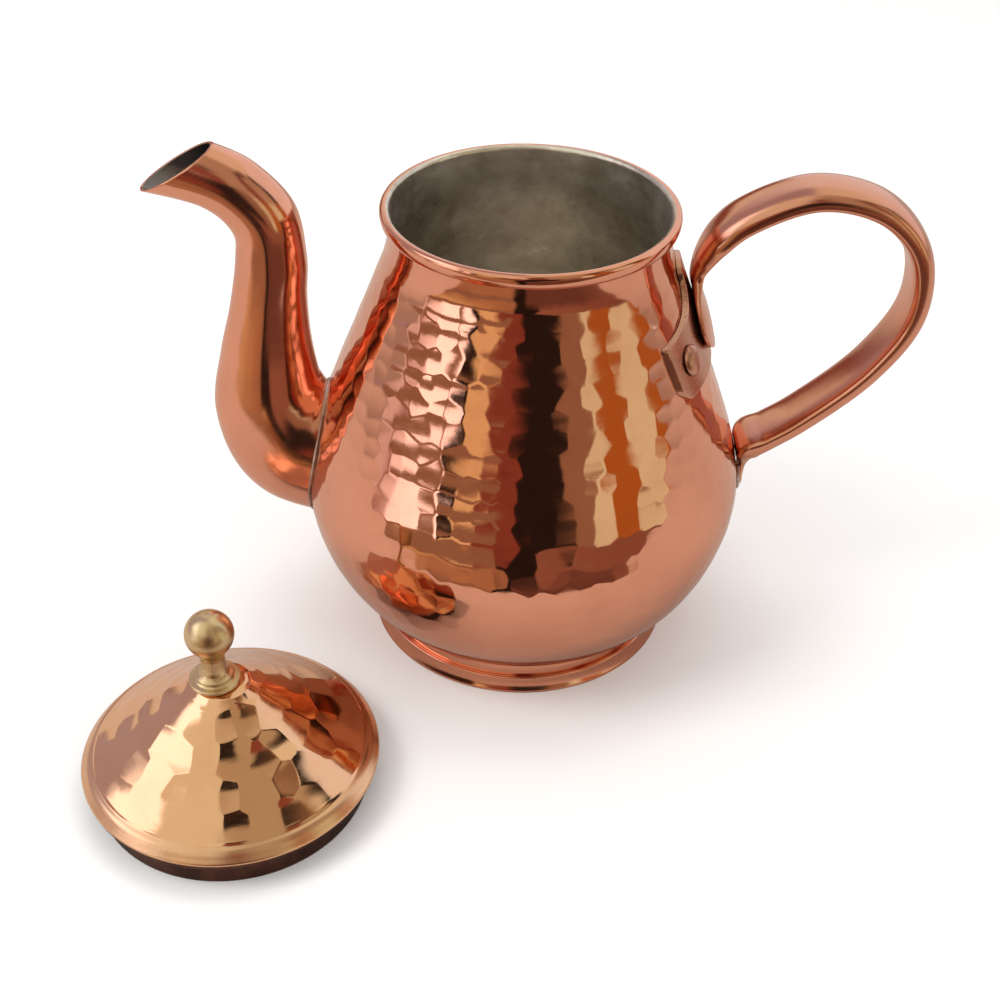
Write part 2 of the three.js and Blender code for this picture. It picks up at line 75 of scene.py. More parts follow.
WIRE_RADIUS = (WIRE_HIGH[2] - WIRE_LOW[2]) / 2
BEAD_Z = (WIRE_HIGH[2] + WIRE_LOW[2]) / 2
BEAD_CENTRE = WIRE_HIGH[0] - WIRE_RADIUS
BEAD_RADIUS = BODY_HIGH[2] - BEAD_Z
NECK_RADIUS = BEAD_CENTRE - BEAD_RADIUS + SHEET

FOOT_RADIUS = FOOT_HIGH[0]
FOOT_HEIGHT = FOOT_HIGH[2]

LID_CENTRE = np.array([(DOME_LOW[0] + DOME_HIGH[0]) / 2, (DOME_LOW[1] + DOME_HIGH[1]) / 2, 0])
LID_RADIUS = (DOME_HIGH[0] - DOME_LOW[0]) / 2
LID_EDGE_Z = DOME_LOW[2]
LID_TOP_Z = DOME_HIGH[2]
COLLAR_TOP_Z = COLLAR_HIGH[2]

BALL_RADIUS = (BALL_HIGH[2] - BALL_LOW[2]) / 2
BALL_CENTRE = (BALL_LOW + BALL_HIGH) / 2
KNOB_CENTRE = np.array([BALL_CENTRE[0], BALL_CENTRE[1], 0])


# ---------------------------------------------------------------- curves


def catmull_rom(points, t):
    """Points on the smooth line through the given points, for t from 0 to 1."""
    points = np.asarray(points, float)
    last = len(points) - 1
    place = np.clip(np.asarray(t, float), 0, 1) * last
    start = np.minimum(place.astype(int), last - 1)
    f = (place - start)[..., None]
    p0, p1, p2, p3 = (points[np.clip(start + k, 0, last)] for k in (-1, 0, 1, 2))
    linear = (p2 - p0) * f
    square = (2 * p0 - 5 * p1 + 4 * p2 - p3) * f**2
    cube = (3 * p1 - p0 - 3 * p2 + p3) * f**3
    return 0.5 * (2 * p1 + linear + square + cube)


def lengths(line):
    """Distance along a line of points, at each point."""
    steps = np.linalg.norm(np.diff(line, axis=0), axis=1)
    return np.concatenate([[0], np.cumsum(steps)])


def evenly(line, spacing):
    """The same line with points about spacing apart."""
    along = lengths(line)
    count = max(int(round(along[-1] / spacing)), 2)
    at = np.linspace(0, along[-1], count + 1)
    return np.stack([np.interp(at, along, line[:, axis]) for axis in range(line.shape[1])], axis=1)


def smooth_line(points, spacing):
    return evenly(catmull_rom(points, np.linspace(0, 1, 4001)), spacing)


def outward_normals(line):
    """Unit vectors to the right of a profile that is walked upwards, as (radius, height) pairs."""
    along = np.gradient(line, axis=0)
    along /= np.linalg.norm(along, axis=1, keepdims=True)
    return np.stack([along[:, 1], -along[:, 0]], axis=1)


def arc(centre, radius, start, end, count):
    """Points on an arc, with the angles in degrees."""
    angle = np.radians(np.linspace(start, end, count))
    return np.stack([centre[0] + radius * np.cos(angle), centre[1] + radius * np.sin(angle)], axis=1)


def smoothstep(low, high, value):
    t = np.clip((value - low) / (high - low), 0, 1)
    return t * t * (3 - 2 * t)


def signed_power(value, exponent):
    return np.sign(value) * np.abs(value) ** exponent


# ---------------------------------------------------------------- meshes


def grid_corners(rows, columns, join_rows):
    """Row and column of each corner of each quad, for a grid whose columns wrap round."""
    row_count = rows if join_rows else rows - 1
    row, column = np.meshgrid(np.arange(row_count), np.arange(columns), indexing="ij")
    corner_rows = np.stack([row, row, row + 1, row + 1], axis=-1).reshape(-1, 4)
    corner_columns = np.stack([column, column + 1, column + 1, column], axis=-1).reshape(-1, 4)
    return corner_rows, corner_columns


def signed_volume(points, quads):
    a, b, c, d = (points[quads[:, k]] for k in range(4))
    return np.einsum("ij,ij->", a, np.cross(b, c)) + np.einsum("ij,ij->", a, np.cross(c, d))


def grid_object(name, points, join_rows=False, row_material=None):
    """A closed skin over a grid of points in millimetres.

    Columns wrap round. Rows join end to end as well, or the first and last row get a flat cap.
    row_material gives a material slot for each row of quads.
    """
    rows, columns = points.shape[:2]
    flat = points.reshape(-1, 3) * MM
    corner_rows, corner_columns = grid_corners(rows, columns, join_rows)
    quads = (corner_rows % rows) * columns + corner_columns % columns
    inside_out = signed_volume(flat, quads) < 0
    if inside_out:
        quads = quads[:, ::-1]
        corner_rows = corner_rows[:, ::-1]
        corner_columns = corner_columns[:, ::-1]
    caps = []
    if not join_rows:
        first = np.arange(columns)[::-1]
        last = (rows - 1) * columns + np.arange(columns)
        caps = [first[::-1], last[::-1]] if inside_out else [first, last]
    corners = np.concatenate([quads.ravel(), *caps]).astype(np.int32)
    starts = np.arange(len(quads)) * 4
    for k in range(len(caps)):
        starts = np.append(starts, len(quads) * 4 + k * columns)

    mesh = bpy.data.meshes.new(name)
    mesh.vertices.add(len(flat))
    mesh.vertices.foreach_set("co", flat.astype(np.float32).ravel())
    mesh.loops.add(len(corners))
    mesh.loops.foreach_set("vertex_index", corners)
    mesh.polygons.add(len(starts))
    mesh.polygons.foreach_set("loop_start", starts.astype(np.int32))
    mesh.update(calc_edges=True)

    # u runs once round the columns and v once along the rows
    place = np.zeros((len(corners), 2), np.float32)
    place[: quads.size, 0] = corner_columns.ravel() / columns
    place[: quads.size, 1] = corner_rows.ravel() / rows
    mesh.uv_layers.new(name="UVMap").data.foreach_set("uv", place.ravel())
    if row_material is not None:
        quad_row = corner_rows.min(axis=1)
        slots = np.concatenate([np.asarray(row_material)[quad_row], np.zeros(len(caps))])
        mesh.polygons.foreach_set("material_index", slots.astype(np.int32))
    mesh.shade_smooth()
    item = bpy.data.objects.new(name, mesh)
    bpy.context.scene.collection.objects.link(item)
    return item


def lathe(radii, heights, angles, centre=(0, 0, 0)):
    """Grid of points on a surface of revolution; radii and heights are rows x columns."""
    x = centre[0] + radii * np.cos(angles)
    y = centre[1] + radii * np.sin(angles)
    return np.stack([x, y, np.broadcast_to(centre[2] + heights, x.shape)], axis=-1)


def turned(line, columns, centre=(0, 0, 0)):
    """Grid of points for a plain turned profile."""
    angles = np.linspace(0, TURN, columns, endpoint=False)
    return lathe(line[:, :1] * np.ones(columns), line[:, 1:] * np.ones(columns), angles, centre)


def keep_corners(item, degrees):
    """Shades smooth except across edges sharper than this."""
    item.data.set_sharp_from_angle(angle=math.radians(degrees))


# ---------------------------------------------------------------- hammer marks


ROW_PITCH = 1.12  # distance between rows of marks, as a share of a mark's width
MARK_REACH = 2.2  # a mark is worked out this many rows to either side
MARK_SHIFT = 0.14  # how far a mark strays from its place, as a share of the spacing
BOWL_SPREAD = (0.7, 1.5)  # least and greatest radius of a bowl, as shares of the usual one
MARK_LEAN = 0.013  # usual slope of a bowl to the skin
RIDGE_SHARE = 0.62  # greatest depth of a mark, as a share of its bowl's rise at a mark's width


def hammered(along, radii, angles, first, last, size, bowl, seed):
    """Height of a hammered skin, zero on the ridges and negative in the marks.

    The marks stand in rows, each row started at a random angle. Each mark is a shallow bowl, and
    the skin is the lowest bowl at each point, so neighbouring marks meet in a ridge.
    """
    random = np.random.default_rng(seed)
    pitch = size * ROW_PITCH
    deepest = size**2 * RIDGE_SHARE / (2 * bowl)
    height = np.full((len(along), len(angles)), deepest * 2)
    for row in range(-1, int((last - first) / pitch) + 3):
        centre = first + row * pitch
        near = np.abs(along - centre) < MARK_REACH * pitch
        count = max(int(round(TURN * np.interp(centre, along, radii) / size)), 6)
        shift = random.uniform(-MARK_SHIFT, MARK_SHIFT, (count, 2))
        bowls = bowl * random.uniform(*BOWL_SPREAD, count)
        lean = random.normal(0, MARK_LEAN, (count, 2))
        drift = random.uniform(0, 1)
        if not near.any():
            continue
        place = angles * count / TURN - drift
        for k in (-1, 0, 1, 2):
            mark = np.floor(place).astype(int) + k
            chosen = mark % count
            across = (place - mark - shift[chosen, 0]) * TURN / count * radii[near][:, None]
            rise = (along[near] - centre)[:, None] - shift[chosen, 1] * pitch
            level = (across**2 + rise**2) / (2 * bowls[chosen])
            level = level + lean[chosen, 0] * across + lean[chosen, 1] * rise
            height[near] = np.minimum(height[near], level)
    fade = smoothstep(first - pitch, first + 1.5 * pitch, along)
    fade = fade * (1 - smoothstep(last - 0.5 * pitch, last + 0.5 * pitch, along))
    return (np.minimum(height, deepest) - deepest) * fade[:, None]


def handmade(along, angles, amount, seed):
    """Slow unevenness of a raised shell: a few long waves round it and along it."""
    random = np.random.default_rng(seed)
    total = np.zeros((len(along), len(angles)))
    for waves in (2, 3, 5, 8, 11):
        phase, twist = random.uniform(0, TURN, 2)
        lengthwise = np.sin(along / random.uniform(9, 22) + twist)[:, None]
        total += np.cos(waves * angles + phase) * (0.6 + 0.4 * lengthwise) / waves
    return total * amount


# ---------------------------------------------------------------- the pot's wall


WAIST = (46.8, 9.6)
FOOT_SEAM_RADIUS = 47.6  # the wall's radius where it goes into the foot band
FLARE_POINTS = [(48.1, 1.9), (FOOT_SEAM_RADIUS, 4.6), (47.2, 7), WAIST]
WALL_POINTS = [
    WAIST,
    (49.2, 12),
    (56.2, 17.6),
    (64.8, 30),
    (69.75, 43.1),
    (71.5, 56.3),
    (69.2, 70.3),
    (63.9, 86.3),
    (57.4, 103.1),
    (50.6, 120),
    (44.6, 135.6),
    (NECK_RADIUS, 142.5),
    (NECK_RADIUS, BEAD_Z),
]
BODY_COLUMNS = 640
HAMMER_SIZE = 6.1
HAMMER_BOWL = 66
HAMMER_LOW_Z = 26
HAMMER_HIGH_Z = 137
BEAD_DROOP = 1.6  # the rolled rim hangs a little lower than a round bead would
TINNED_CURL_ROWS = 13  # rows of the roll, from its inner side, that the tin covers
RING_HEIGHTS = (10.6, 12.8, 15.2)  # shallow turned lines above the foot
RING_DEPTH = 0.1
RING_WIDTH = 0.6
OUTER_SPACING = 0.62  # between rows of points up the outside of the wall
INNER_SPACING = 1.6
INNER_MARK_SHARE = 0.8  # how far the hammer marks show through inside
UNEVENNESS = 0.11
UNEVEN_FROM = (8, 30)  # heights over which the wall's unevenness grows from nothing
UNEVEN_UNTIL = (132, 148)  # and over which it dies away below the rim
RIM_UNEVENNESS = 0.09
PORT_HALF_WIDTH = 9
PORT_HALF_HEIGHT = 12
PORT_Z = 66
PORT_SIDES = 72
DRILL_LENGTH = 40

wall_line = smooth_line(WALL_POINTS, 0.3)


def wall_radius(z):
    """Outer radius of the pot at a height above the waist."""
    return np.interp(z, wall_line[:, 1], wall_line[:, 0])


def wall_lean(z):
    """How far outward the wall's normal tips up, as a slope."""
    return (wall_radius(z - 1) - wall_radius(z + 1)) / 2


def shell_side(inset, spacing, angles, mark_share):
    """Rows of points up one side of the pot's wall, inset from its outer surface."""
    line = smooth_line(FLARE_POINTS[:-1] + WALL_POINTS, spacing)
    normals = outward_normals(line)
    along = lengths(line)
    first = np.interp(HAMMER_LOW_Z, line[:, 1], along)
    last = np.interp(HAMMER_HIGH_Z, line[:, 1], along)
    marks = hammered(along, line[:, 0], angles, first, last, HAMMER_SIZE, HAMMER_BOWL, seed=7)
    firm = smoothstep(*UNEVEN_FROM, line[:, 1]) * (1 - smoothstep(*UNEVEN_UNTIL, line[:, 1]))
    waves = handmade(along, angles, UNEVENNESS, seed=3) * firm[:, None]
    rings = sum(np.exp(-(((line[:, 1] - z) / RING_WIDTH) ** 2)) for z in RING_HEIGHTS)
    lift = marks * mark_share + waves - inset - RING_DEPTH * rings[:, None]
    radii = line[:, :1] + normals[:, :1] * lift
    heights = line[:, 1:] + normals[:, 1:] * lift
    return radii[:-1], heights[:-1]


def body_shell():
    """Raised wall with its rim rolled outward; the inside and half the roll are tinned."""
    angles = np.linspace(0, TURN, BODY_COLUMNS, endpoint=False)
    outer_radii, outer_heights = shell_side(0, OUTER_SPACING, angles, 1)
    inner_radii, inner_heights = shell_side(SHEET, INNER_SPACING, angles, INNER_MARK_SHARE)
    centre = (BEAD_CENTRE, BEAD_Z)
    curl_inside = arc(centre, BEAD_RADIUS - SHEET, 180, -90, 20)
    curl_outside = arc(centre, BEAD_RADIUS, -90, 180, 46)
    hanging = np.maximum(centre[1] - curl_outside[:, 1], 0) / BEAD_RADIUS
    curl_outside[:, 1] -= BEAD_DROOP * hanging
    curl = np.concatenate([curl_inside, curl_outside])
    ones = np.ones(BODY_COLUMNS)
    wobble = handmade(np.zeros(1), angles, RIM_UNEVENNESS, seed=11)
    curl_radii = curl[:, :1] * ones + wobble
    curl_heights = curl[:, 1:] * ones + 0.5 * np.roll(wobble, 90, axis=1)
    radii = np.concatenate([outer_radii, curl_radii, inner_radii[::-1]])
    heights = np.concatenate([outer_heights, curl_heights, inner_heights[::-1]])
    tinned_from = len(outer_radii) + len(curl) - TINNED_CURL_ROWS
    slots = (np.arange(len(radii)) >= tinned_from).astype(int)
    return grid_object("pot_body", lathe(radii, heights, angles), True, slots)


def cut_spout_port(item):
    """Opens the oval port in the wall behind the spout."""
    bpy.ops.mesh.primitive_cylinder_add(vertices=PORT_SIDES, radius=1, depth=DRILL_LENGTH * MM)
    drill = bpy.context.active_object
    drill.scale = (PORT_HALF_HEIGHT * MM, PORT_HALF_WIDTH * MM, 1)
    drill.rotation_euler = (0, math.pi / 2, 0)
    drill.location = (-wall_radius(PORT_Z) * MM, 0, PORT_Z * MM)
    cut = item.modifiers.new("port", "BOOLEAN")
    cut.operation = "DIFFERENCE"
    cut.object = drill
    cut.solver = "EXACT"
    bpy.context.view_layer.update()
    graph = bpy.context.evaluated_depsgraph_get()
    opened = bpy.data.meshes.new_from_object(item.evaluated_get(graph))
    item.modifiers.clear()
    item.data = opened
    bpy.data.objects.remove(drill)


BASE_SHEET = 0.8
BASE_CORNER = 0.3  # radius of the base's outer corner
FOOT_BEAD = 0.6  # radius of the rounded top of the band
FOOT_LIP_RADIUS = FOOT_SEAM_RADIUS + 0.08  # the band folds in to here, just clear of the wall
# The band's slope, as how far it has come in from the base's edge at each height.
FOOT_SLOPE = [(0.3, 0.9), (0.75, 1.9), (1.15, 2.9), (1.32, 3.8), (1.4, 4.5)]
FOOT_TOP_INSET = 2.05
FOOT_TINNED_ROWS = 3  # rows of the profile, from its inner end, that the tin covers


def foot_band():
    """Flat base, tinned inside, whose edge stands up as a plain band and folds in close to the wall."""
    profile = np.concatenate([
        [(0.6, 0), (FOOT_RADIUS * 0.5, 0), (FOOT_RADIUS - 6, 0), (FOOT_RADIUS - 1, 0)],
        arc((FOOT_RADIUS - BASE_CORNER, BASE_CORNER), BASE_CORNER, -90, 15, 6),
        [(FOOT_RADIUS - inset, height) for inset, height in FOOT_SLOPE],
        arc((FOOT_RADIUS - FOOT_TOP_INSET, FOOT_HEIGHT - FOOT_BEAD), FOOT_BEAD, 20, 90, 8),
        [(FOOT_LIP_RADIUS, FOOT_HEIGHT - 0.2), (FOOT_LIP_RADIUS, FOOT_HEIGHT - 0.8)],
        [(FOOT_RADIUS - 1.5 * BASE_SHEET, BASE_SHEET + 0.4), (FOOT_RADIUS - 2 * BASE_SHEET, BASE_SHEET)],
        [(FOOT_RADIUS * 0.5, BASE_SHEET), (0.2, BASE_SHEET)],
    ])
    columns = 360
    angles = np.linspace(0, TURN, columns, endpoint=False)
    side = (profile[:, :1] > FOOT_RADIUS - 2.1) * (profile[:, 1:] > 0.2)
    wobble = handmade(np.arange(len(profile)) * 3.0, angles, 0.1, seed=21) * side
    points = lathe(profile[:, :1] + wobble - 0.1 * side, profile[:, 1:] * np.ones(columns), angles)
    slots = (np.arange(len(profile)) >= len(profile) - FOOT_TINNED_ROWS).astype(int)
    item = grid_object("foot_band", points, False, slots)
    keep_corners(item, 50)
    return item


# ---------------------------------------------------------------- spout

LOWER_RAIL = [
    (-56, 40.8),
    (-69.7, 40.8),
    (-86.2, 47.2),
    (-96.6, 60.5),
    (-100.7, 80.4),
    (-97, 100.5),
    (-92.8, 116.3),
    (-89.6, 133),
    (-89.9, 142.6),
    (-98.4, 150.6),
    (-116, 155),
]
UPPER_RAIL = [
    (-56, 84),
    (-64.1, 86.4),
    (-65, 88),
    (-65.6, 89.6),
    (-66.6, 92.6),
    (-68.2, 105.4),
    (-68.5, 119.7),
    (-67.8, 133),
    (-70.5, 150),
    (-81.7, 162.9),
    (-93.3, 168.9),
]
SPOUT_HALF_WIDTHS = [19.5, 19, 18.2, 17.2, 15.8, 13.2, 11.6, 10.8, 10.3, 10, 9.4]
SPOUT_COLUMNS = 112
SPOUT_ROWS = 150


def spout_points(t, angle, inset):
    """Points on the spout's skin; t runs from the pot to the lip, angle goes round."""
    low = catmull_rom(LOWER_RAIL, t)
    high = catmull_rom(UPPER_RAIL, t)
    half_width = catmull_rom([(width,) for width in SPOUT_HALF_WIDTHS], t)[..., 0] - inset
    span = np.linalg.norm(high - low, axis=-1)
    up = (high - low) / span[..., None]
    rise = (span / 2 - inset) * np.sin(angle)
    middle = (low + high) / 2
    x = middle[..., 0] + up[..., 0] * rise
    z = middle[..., 1] + up[..., 1] * rise
    return np.stack([x, half_width * np.cos(angle), z], axis=-1)


def spout_starts(angles, inset, clear):
    """Where each lengthwise line of the spout comes out of the pot's wall."""
    inside = np.zeros_like(angles)
    outside = np.full_like(angles, 0.35)
    for _ in range(40):
        t = (inside + outside) / 2
        p = spout_points(t, angles, inset)
        buried = np.hypot(p[:, 0], p[:, 1]) < wall_radius(p[:, 2]) + clear
        inside = np.where(buried, t, inside)
        outside = np.where(buried, outside, t)
    return outside


def spout_tube():
    angles = np.linspace(0, TURN, SPOUT_COLUMNS, endpoint=False)
    share = np.linspace(0, 1, SPOUT_ROWS)[:, None]

    def skin(inset, end):
        start = spout_starts(angles, inset, -0.25)
        t = start + (end - start) * share
        return spout_points(t, angles + 0 * t, inset)

    outside = skin(0, 0.998)
    inside = skin(SHEET, 0.998)
    round_edge = [spout_points(np.full(SPOUT_COLUMNS, 1.0), angles, inset) for inset in (0.2, 0.7)]
    points = np.concatenate([outside, np.array(round_edge), inside[::-1]])
    lining = SPOUT_ROWS + 2
    slots = (np.arange(len(points)) >= lining).astype(int)
    return grid_object("spout_tube", points, True, slots)


def tube_along(name, path, radii, sides, is_loop):
    """A round bead along a path of points, with a radius at each point."""
    count = len(path)
    if is_loop:
        along = np.roll(path, -1, axis=0) - np.roll(path, 1, axis=0)
    else:
        along = np.gradient(path, axis=0)
    along /= np.linalg.norm(along, axis=1, keepdims=True)
    outward = path * (1, 1, 0)
    side = np.cross(along, outward)
    side /= np.linalg.norm(side, axis=1, keepdims=True)
    lift = np.cross(side, along)
    angle = np.linspace(0, TURN, sides, endpoint=False)[None, :, None]
    ring = side[:, None] * np.cos(angle) + lift[:, None] * np.sin(angle)
    points = path[:, None] + ring * np.asarray(radii).reshape(count, 1, 1)
    return grid_object(name, points, is_loop)


def spout_solder():
    """Uneven line of solder in the corner between the spout and the wall."""
    count = 360
    angles = np.linspace(0, TURN, count, endpoint=False)
    start = spout_starts(angles, 0, 0.1)
    path = spout_points(start, angles, 0)
    random = np.random.default_rng(5)
    uneven = sum(np.sin(angles * n + random.uniform(0, TURN)) / n for n in (3, 7, 13, 29))
    return tube_along("spout_joint", path, 0.62 + 0.16 * uneven, 14, True)


# ---------------------------------------------------------------- handle

# x, z, half width and half depth of the strap, from its tongue on the plate to its lower tab
HANDLE_STATIONS = [
    (58.4, 108, 6.4, 0.9),
    (57.1, 111.4, 12, 1.3),
    (55.1, 117.5, 14.4, 1.5),
    (52.1, 125.6, 10.6, 1.6),
    (51.6, 130.8, 6.2, 2.1),
    (53.1, 136.2, 7, 3),
    (56.8, 143, 8.8, 3.9),
    (63.8, 150, 9.4, 4),
    (84.4, 158.4, 9.4, 3.75),
    (105, 154, 9.4, 3.75),
    (117.3, 140.6, 9.4, 3.75),
    (119.4, 120, 9.4, 3.75),
    (108.9, 99.4, 9.4, 3.75),
    (88.6, 79.2, 9.4, 3.75),
    (79.8, 72.7, 9.4, 3.8),
    (74, 68.4, 9, 4.4),
    (73.1, 62.6, 5.2, 1.7),
    (72.9, 58.4, 4.8, 0.9),
    (72.9, 54.6, 4.6, 0.8),
]
CROWN_SQUARENESS = 2.5  # superellipse power of the strap's outer face, which is crowned
FLAT_SQUARENESS = 2.7  # and of its inner face
EDGE_RISE = -0.3  # the strap's edges lie nearer to its inner face, as a share of the half depth
HANDLE_ROWS = 240
HANDLE_COLUMNS = 72


def centripetal(points, t):
    """Points on the centripetal Catmull-Rom line through the given points."""
    points = np.asarray(points, float)
    last = len(points) - 1
    ends = [2 * points[0] - points[1]], [2 * points[-1] - points[-2]]
    padded = np.concatenate([ends[0], points, ends[1]])
    place = np.clip(t, 0, 1) * last
    start = np.minimum(place.astype(int), last - 1)
    f = (place - start)[:, None]
    p0, p1, p2, p3 = (padded[start + k] for k in range(4))
    d0, d1, d2 = (np.linalg.norm(b - a, axis=1)[:, None] ** 0.5 for a, b in ((p0, p1), (p1, p2), (p2, p3)))
    m1 = ((p1 - p0) / d0 - (p2 - p0) / (d0 + d1) + (p2 - p1) / d1) * d1
    m2 = ((p2 - p1) / d1 - (p3 - p1) / (d1 + d2) + (p3 - p2) / d2) * d1
    return p1 + m1 * f + (3 * (p2 - p1) - 2 * m1 - m2) * f**2 + (2 * (p1 - p2) + m1 + m2) * f**3


def handle_strap():
    stations = np.array(HANDLE_STATIONS)
    t = np.linspace(0, 1, HANDLE_ROWS)
    middle = centripetal(stations[:, :2], t)
    size = catmull_rom(stations[:, 2:], t)
    along = np.gradient(middle, axis=0)
    along /= np.linalg.norm(along, axis=1, keepdims=True)
    outward = np.stack([-along[:, 1], along[:, 0]], axis=1)
    angle = np.linspace(0, TURN, HANDLE_COLUMNS, endpoint=False)
    squareness = np.where(np.sin(angle) > 0, CROWN_SQUARENESS, FLAT_SQUARENESS)
    across = size[:, :1] * signed_power(np.cos(angle), 2 / squareness)
    height = signed_power(np.sin(angle), 2 / squareness)
    rise = size[:, 1:] * (EDGE_RISE + height * np.where(height > 0, 1 - EDGE_RISE, 1 + EDGE_RISE))
    random = np.random.default_rng(17)
    dents = sum(np.sin(t * n + random.uniform(0, TURN)) / n for n in (17, 31, 57, 88))
    rise = rise * (1 + 0.35 * dents[:, None])
    wrap = 1 - smoothstep(5.5, 11, middle[:, :1] - wall_radius(middle[:, 1:]))
    sag = middle[:, :1] - np.sqrt(middle[:, :1] ** 2 - across**2)
    x = middle[:, :1] + outward[:, :1] * rise - sag * wrap
    z = middle[:, 1:] + outward[:, 1:] * rise
    closest = np.sqrt(np.maximum((wall_radius(z) + 0.1) ** 2 - across**2, 0))
    return grid_object("handle_loop", np.stack([np.maximum(x, closest), across, z], axis=-1))


# ---------------------------------------------------------------- saddle plate and rivets

PLATE_THICKNESS = 1.6
PLATE_BOTTOM = 104.5
PLATE_TIP_ACROSS = 32
PLATE_CORNER_ACROSS = 31.8
PLATE_CORNER_Z = 121.9
PLATE_NECK_ACROSS = 7.5
PLATE_NECK_Z = 132
PLATE_TOP = 136.5


def bezier(points, count):
    """Points on a quadratic or cubic Bezier curve, without its last point."""
    t = np.linspace(0, 1, count, endpoint=False)[:, None]
    points = [np.array(p, float) for p in points]
    while len(points) > 1:
        points = [a + (b - a) * t for a, b in zip(points, points[1:])]
    return points[0]


def plate_half_outline():
    """Right half of the plate as (across, height), from the middle of its foot to its top."""
    tip, corner = PLATE_TIP_ACROSS, PLATE_CORNER_ACROSS
    toe_start = (tip - 2, PLATE_BOTTOM)
    toe_end = (tip + 0.8, PLATE_BOTTOM + 4)
    ear_start = (corner, PLATE_CORNER_Z - 1.5)
    ear_end = (corner - 2, PLATE_CORNER_Z)
    neck = (PLATE_NECK_ACROSS, PLATE_NECK_Z)
    foot = bezier([(0, PLATE_BOTTOM + 0.75), (tip / 2, PLATE_BOTTOM + 0.75), toe_start], 60)
    toe = bezier([toe_start, (tip + 0.5, PLATE_BOTTOM + 0.5), toe_end], 24)
    edge = bezier([toe_end, ear_start], 30)
    ear = bezier([ear_start, (corner, PLATE_CORNER_Z), ear_end], 16)
    wing = bezier([ear_end, (20, PLATE_CORNER_Z + 1.5), (10.5, 125), neck], 80)
    crown = bezier([neck, (PLATE_NECK_ACROSS, PLATE_TOP), (0, PLATE_TOP)], 40)
    return np.concatenate([foot, toe, edge, ear, wing, crown, [(0, PLATE_TOP)]])


def handle_plate():
    """Winged plate wrapped round the neck, with rounded edges."""
    outline = plate_half_outline()
    widest = outline[:, 0].argmax()
    lower, upper = outline[: widest + 1], outline[widest:][::-1]
    reach = outline[widest, 0]
    u = np.linspace(-1, 1, 261)
    across = (reach - 0.02) * (0.6 * u + 0.4 * np.sin(u * math.pi / 2))
    bottom = np.interp(np.abs(across), lower[:, 0], lower[:, 1])
    top = np.interp(np.abs(across), upper[:, 0], upper[:, 1])
    v = (1 - np.cos(np.linspace(0, math.pi, 64))) / 2
    height = bottom[:, None] + (top - bottom)[:, None] * v
    whole = np.concatenate([outline, outline[::-1] * (-1, 1)])
    spots = np.stack([np.broadcast_to(across[:, None], height.shape), height], axis=-1)
    edge = np.sqrt(((spots[:, :, None] - whole[::2][None, None]) ** 2).sum(-1)).min(-1)
    soft = 0.55
    fall = soft - np.sqrt(np.maximum(soft**2 - np.maximum(soft - edge, 0) ** 2, 0))
    slope = wall_lean(height)
    lean = np.sqrt(1 + slope**2)

    def side(lift):
        radius = wall_radius(height) + lift / lean
        x = np.sqrt(radius**2 - across[:, None] ** 2)
        return np.stack([x, spots[..., 0], height], axis=-1)

    outer = side(GAP + PLATE_THICKNESS - fall)
    inner = side(np.full_like(height, GAP - 0.25))
    points = np.concatenate([outer, inner[:, ::-1]], axis=1)
    item = grid_object("saddle_plate", points)
    keep_corners(item, 48)
    return item


RIVET_ANGLE = math.radians(26)
RIVET_Z = 113.4
RIVET_HEAD_RADIUS = 4.7
RIVET_HEAD_HEIGHT = 1.9
RIVET_SHANK_RADIUS = 2.3
RIVET_UNEVENNESS = 0.11


def rivet(name, side):
    """Rivet with a domed head outside and a flattened end inside the pot."""
    under = PLATE_THICKNESS + GAP + 0.02
    back = -SHEET - 0.25
    height = RIVET_HEAD_HEIGHT + GAP
    angle = np.radians(np.linspace(0, 88, 22))
    squared = 0.82
    dome = np.stack([RIVET_HEAD_RADIUS * np.cos(angle) ** squared, under + height * np.sin(angle)], axis=1)
    profile = np.concatenate([
        [(0.05, back - 0.9), (2.6, back - 0.85), (3.2, back - 0.5), (3.4, back)],
        [(RIVET_SHANK_RADIUS, back), (RIVET_SHANK_RADIUS, under), (RIVET_HEAD_RADIUS - 0.3, under)],
        dome,
    ])
    points = turned(profile, 72)
    random = np.random.default_rng(31 + side)
    swell, tilt = random.normal(0, 1, (2, 2)) * RIVET_UNEVENNESS
    for axis in (0, 1):
        points[..., axis] *= 1 + swell[axis] * 0.3
    tipped = (points[..., 0] * tilt[0] + points[..., 1] * tilt[1]) * 0.3
    points[..., 2] += (points[..., 2] > under) * tipped
    item = grid_object(name, points)
    keep_corners(item, 45)
    turn = side * RIVET_ANGLE
    radius = wall_radius(RIVET_Z)
    at = Vector((radius * math.cos(turn), radius * math.sin(turn), RIVET_Z)) * MM
    outward = Vector((math.cos(turn), math.sin(turn), wall_lean(RIVET_Z))).normalized()
    place = Matrix.Translation(at) @ Vector((0, 0, 1)).rotation_difference(outward).to_matrix().to_4x4()
    item.data.transform(place)
    return item


def tab_solder():
    """Solder down both sides and across the end of the handle's lower tab."""
    across, top, bottom = 6.2, 63, 53.2
    corners = [(-across, top), (-across, 58), (-across, bottom + 2), (-across + 1.8, bottom), (0, bottom),
               (across - 1.8, bottom), (across, bottom + 2), (across, 58), (across, top)]
    line = smooth_line(corners, 0.25)
    reach = wall_radius(line[:, 1]) + 0.35
    path = np.stack([np.sqrt(reach**2 - line[:, 0] ** 2), line[:, 0], line[:, 1]], axis=1)
    random = np.random.default_rng(8)
    wave = sum(np.sin(lengths(path) * n + random.uniform(0, TURN)) for n in (0.4, 0.9, 1.7)) / 3
    return tube_along("tab_joint", path, 0.75 + 0.14 * wave, 12, False)


# ---------------------------------------------------------------- lid

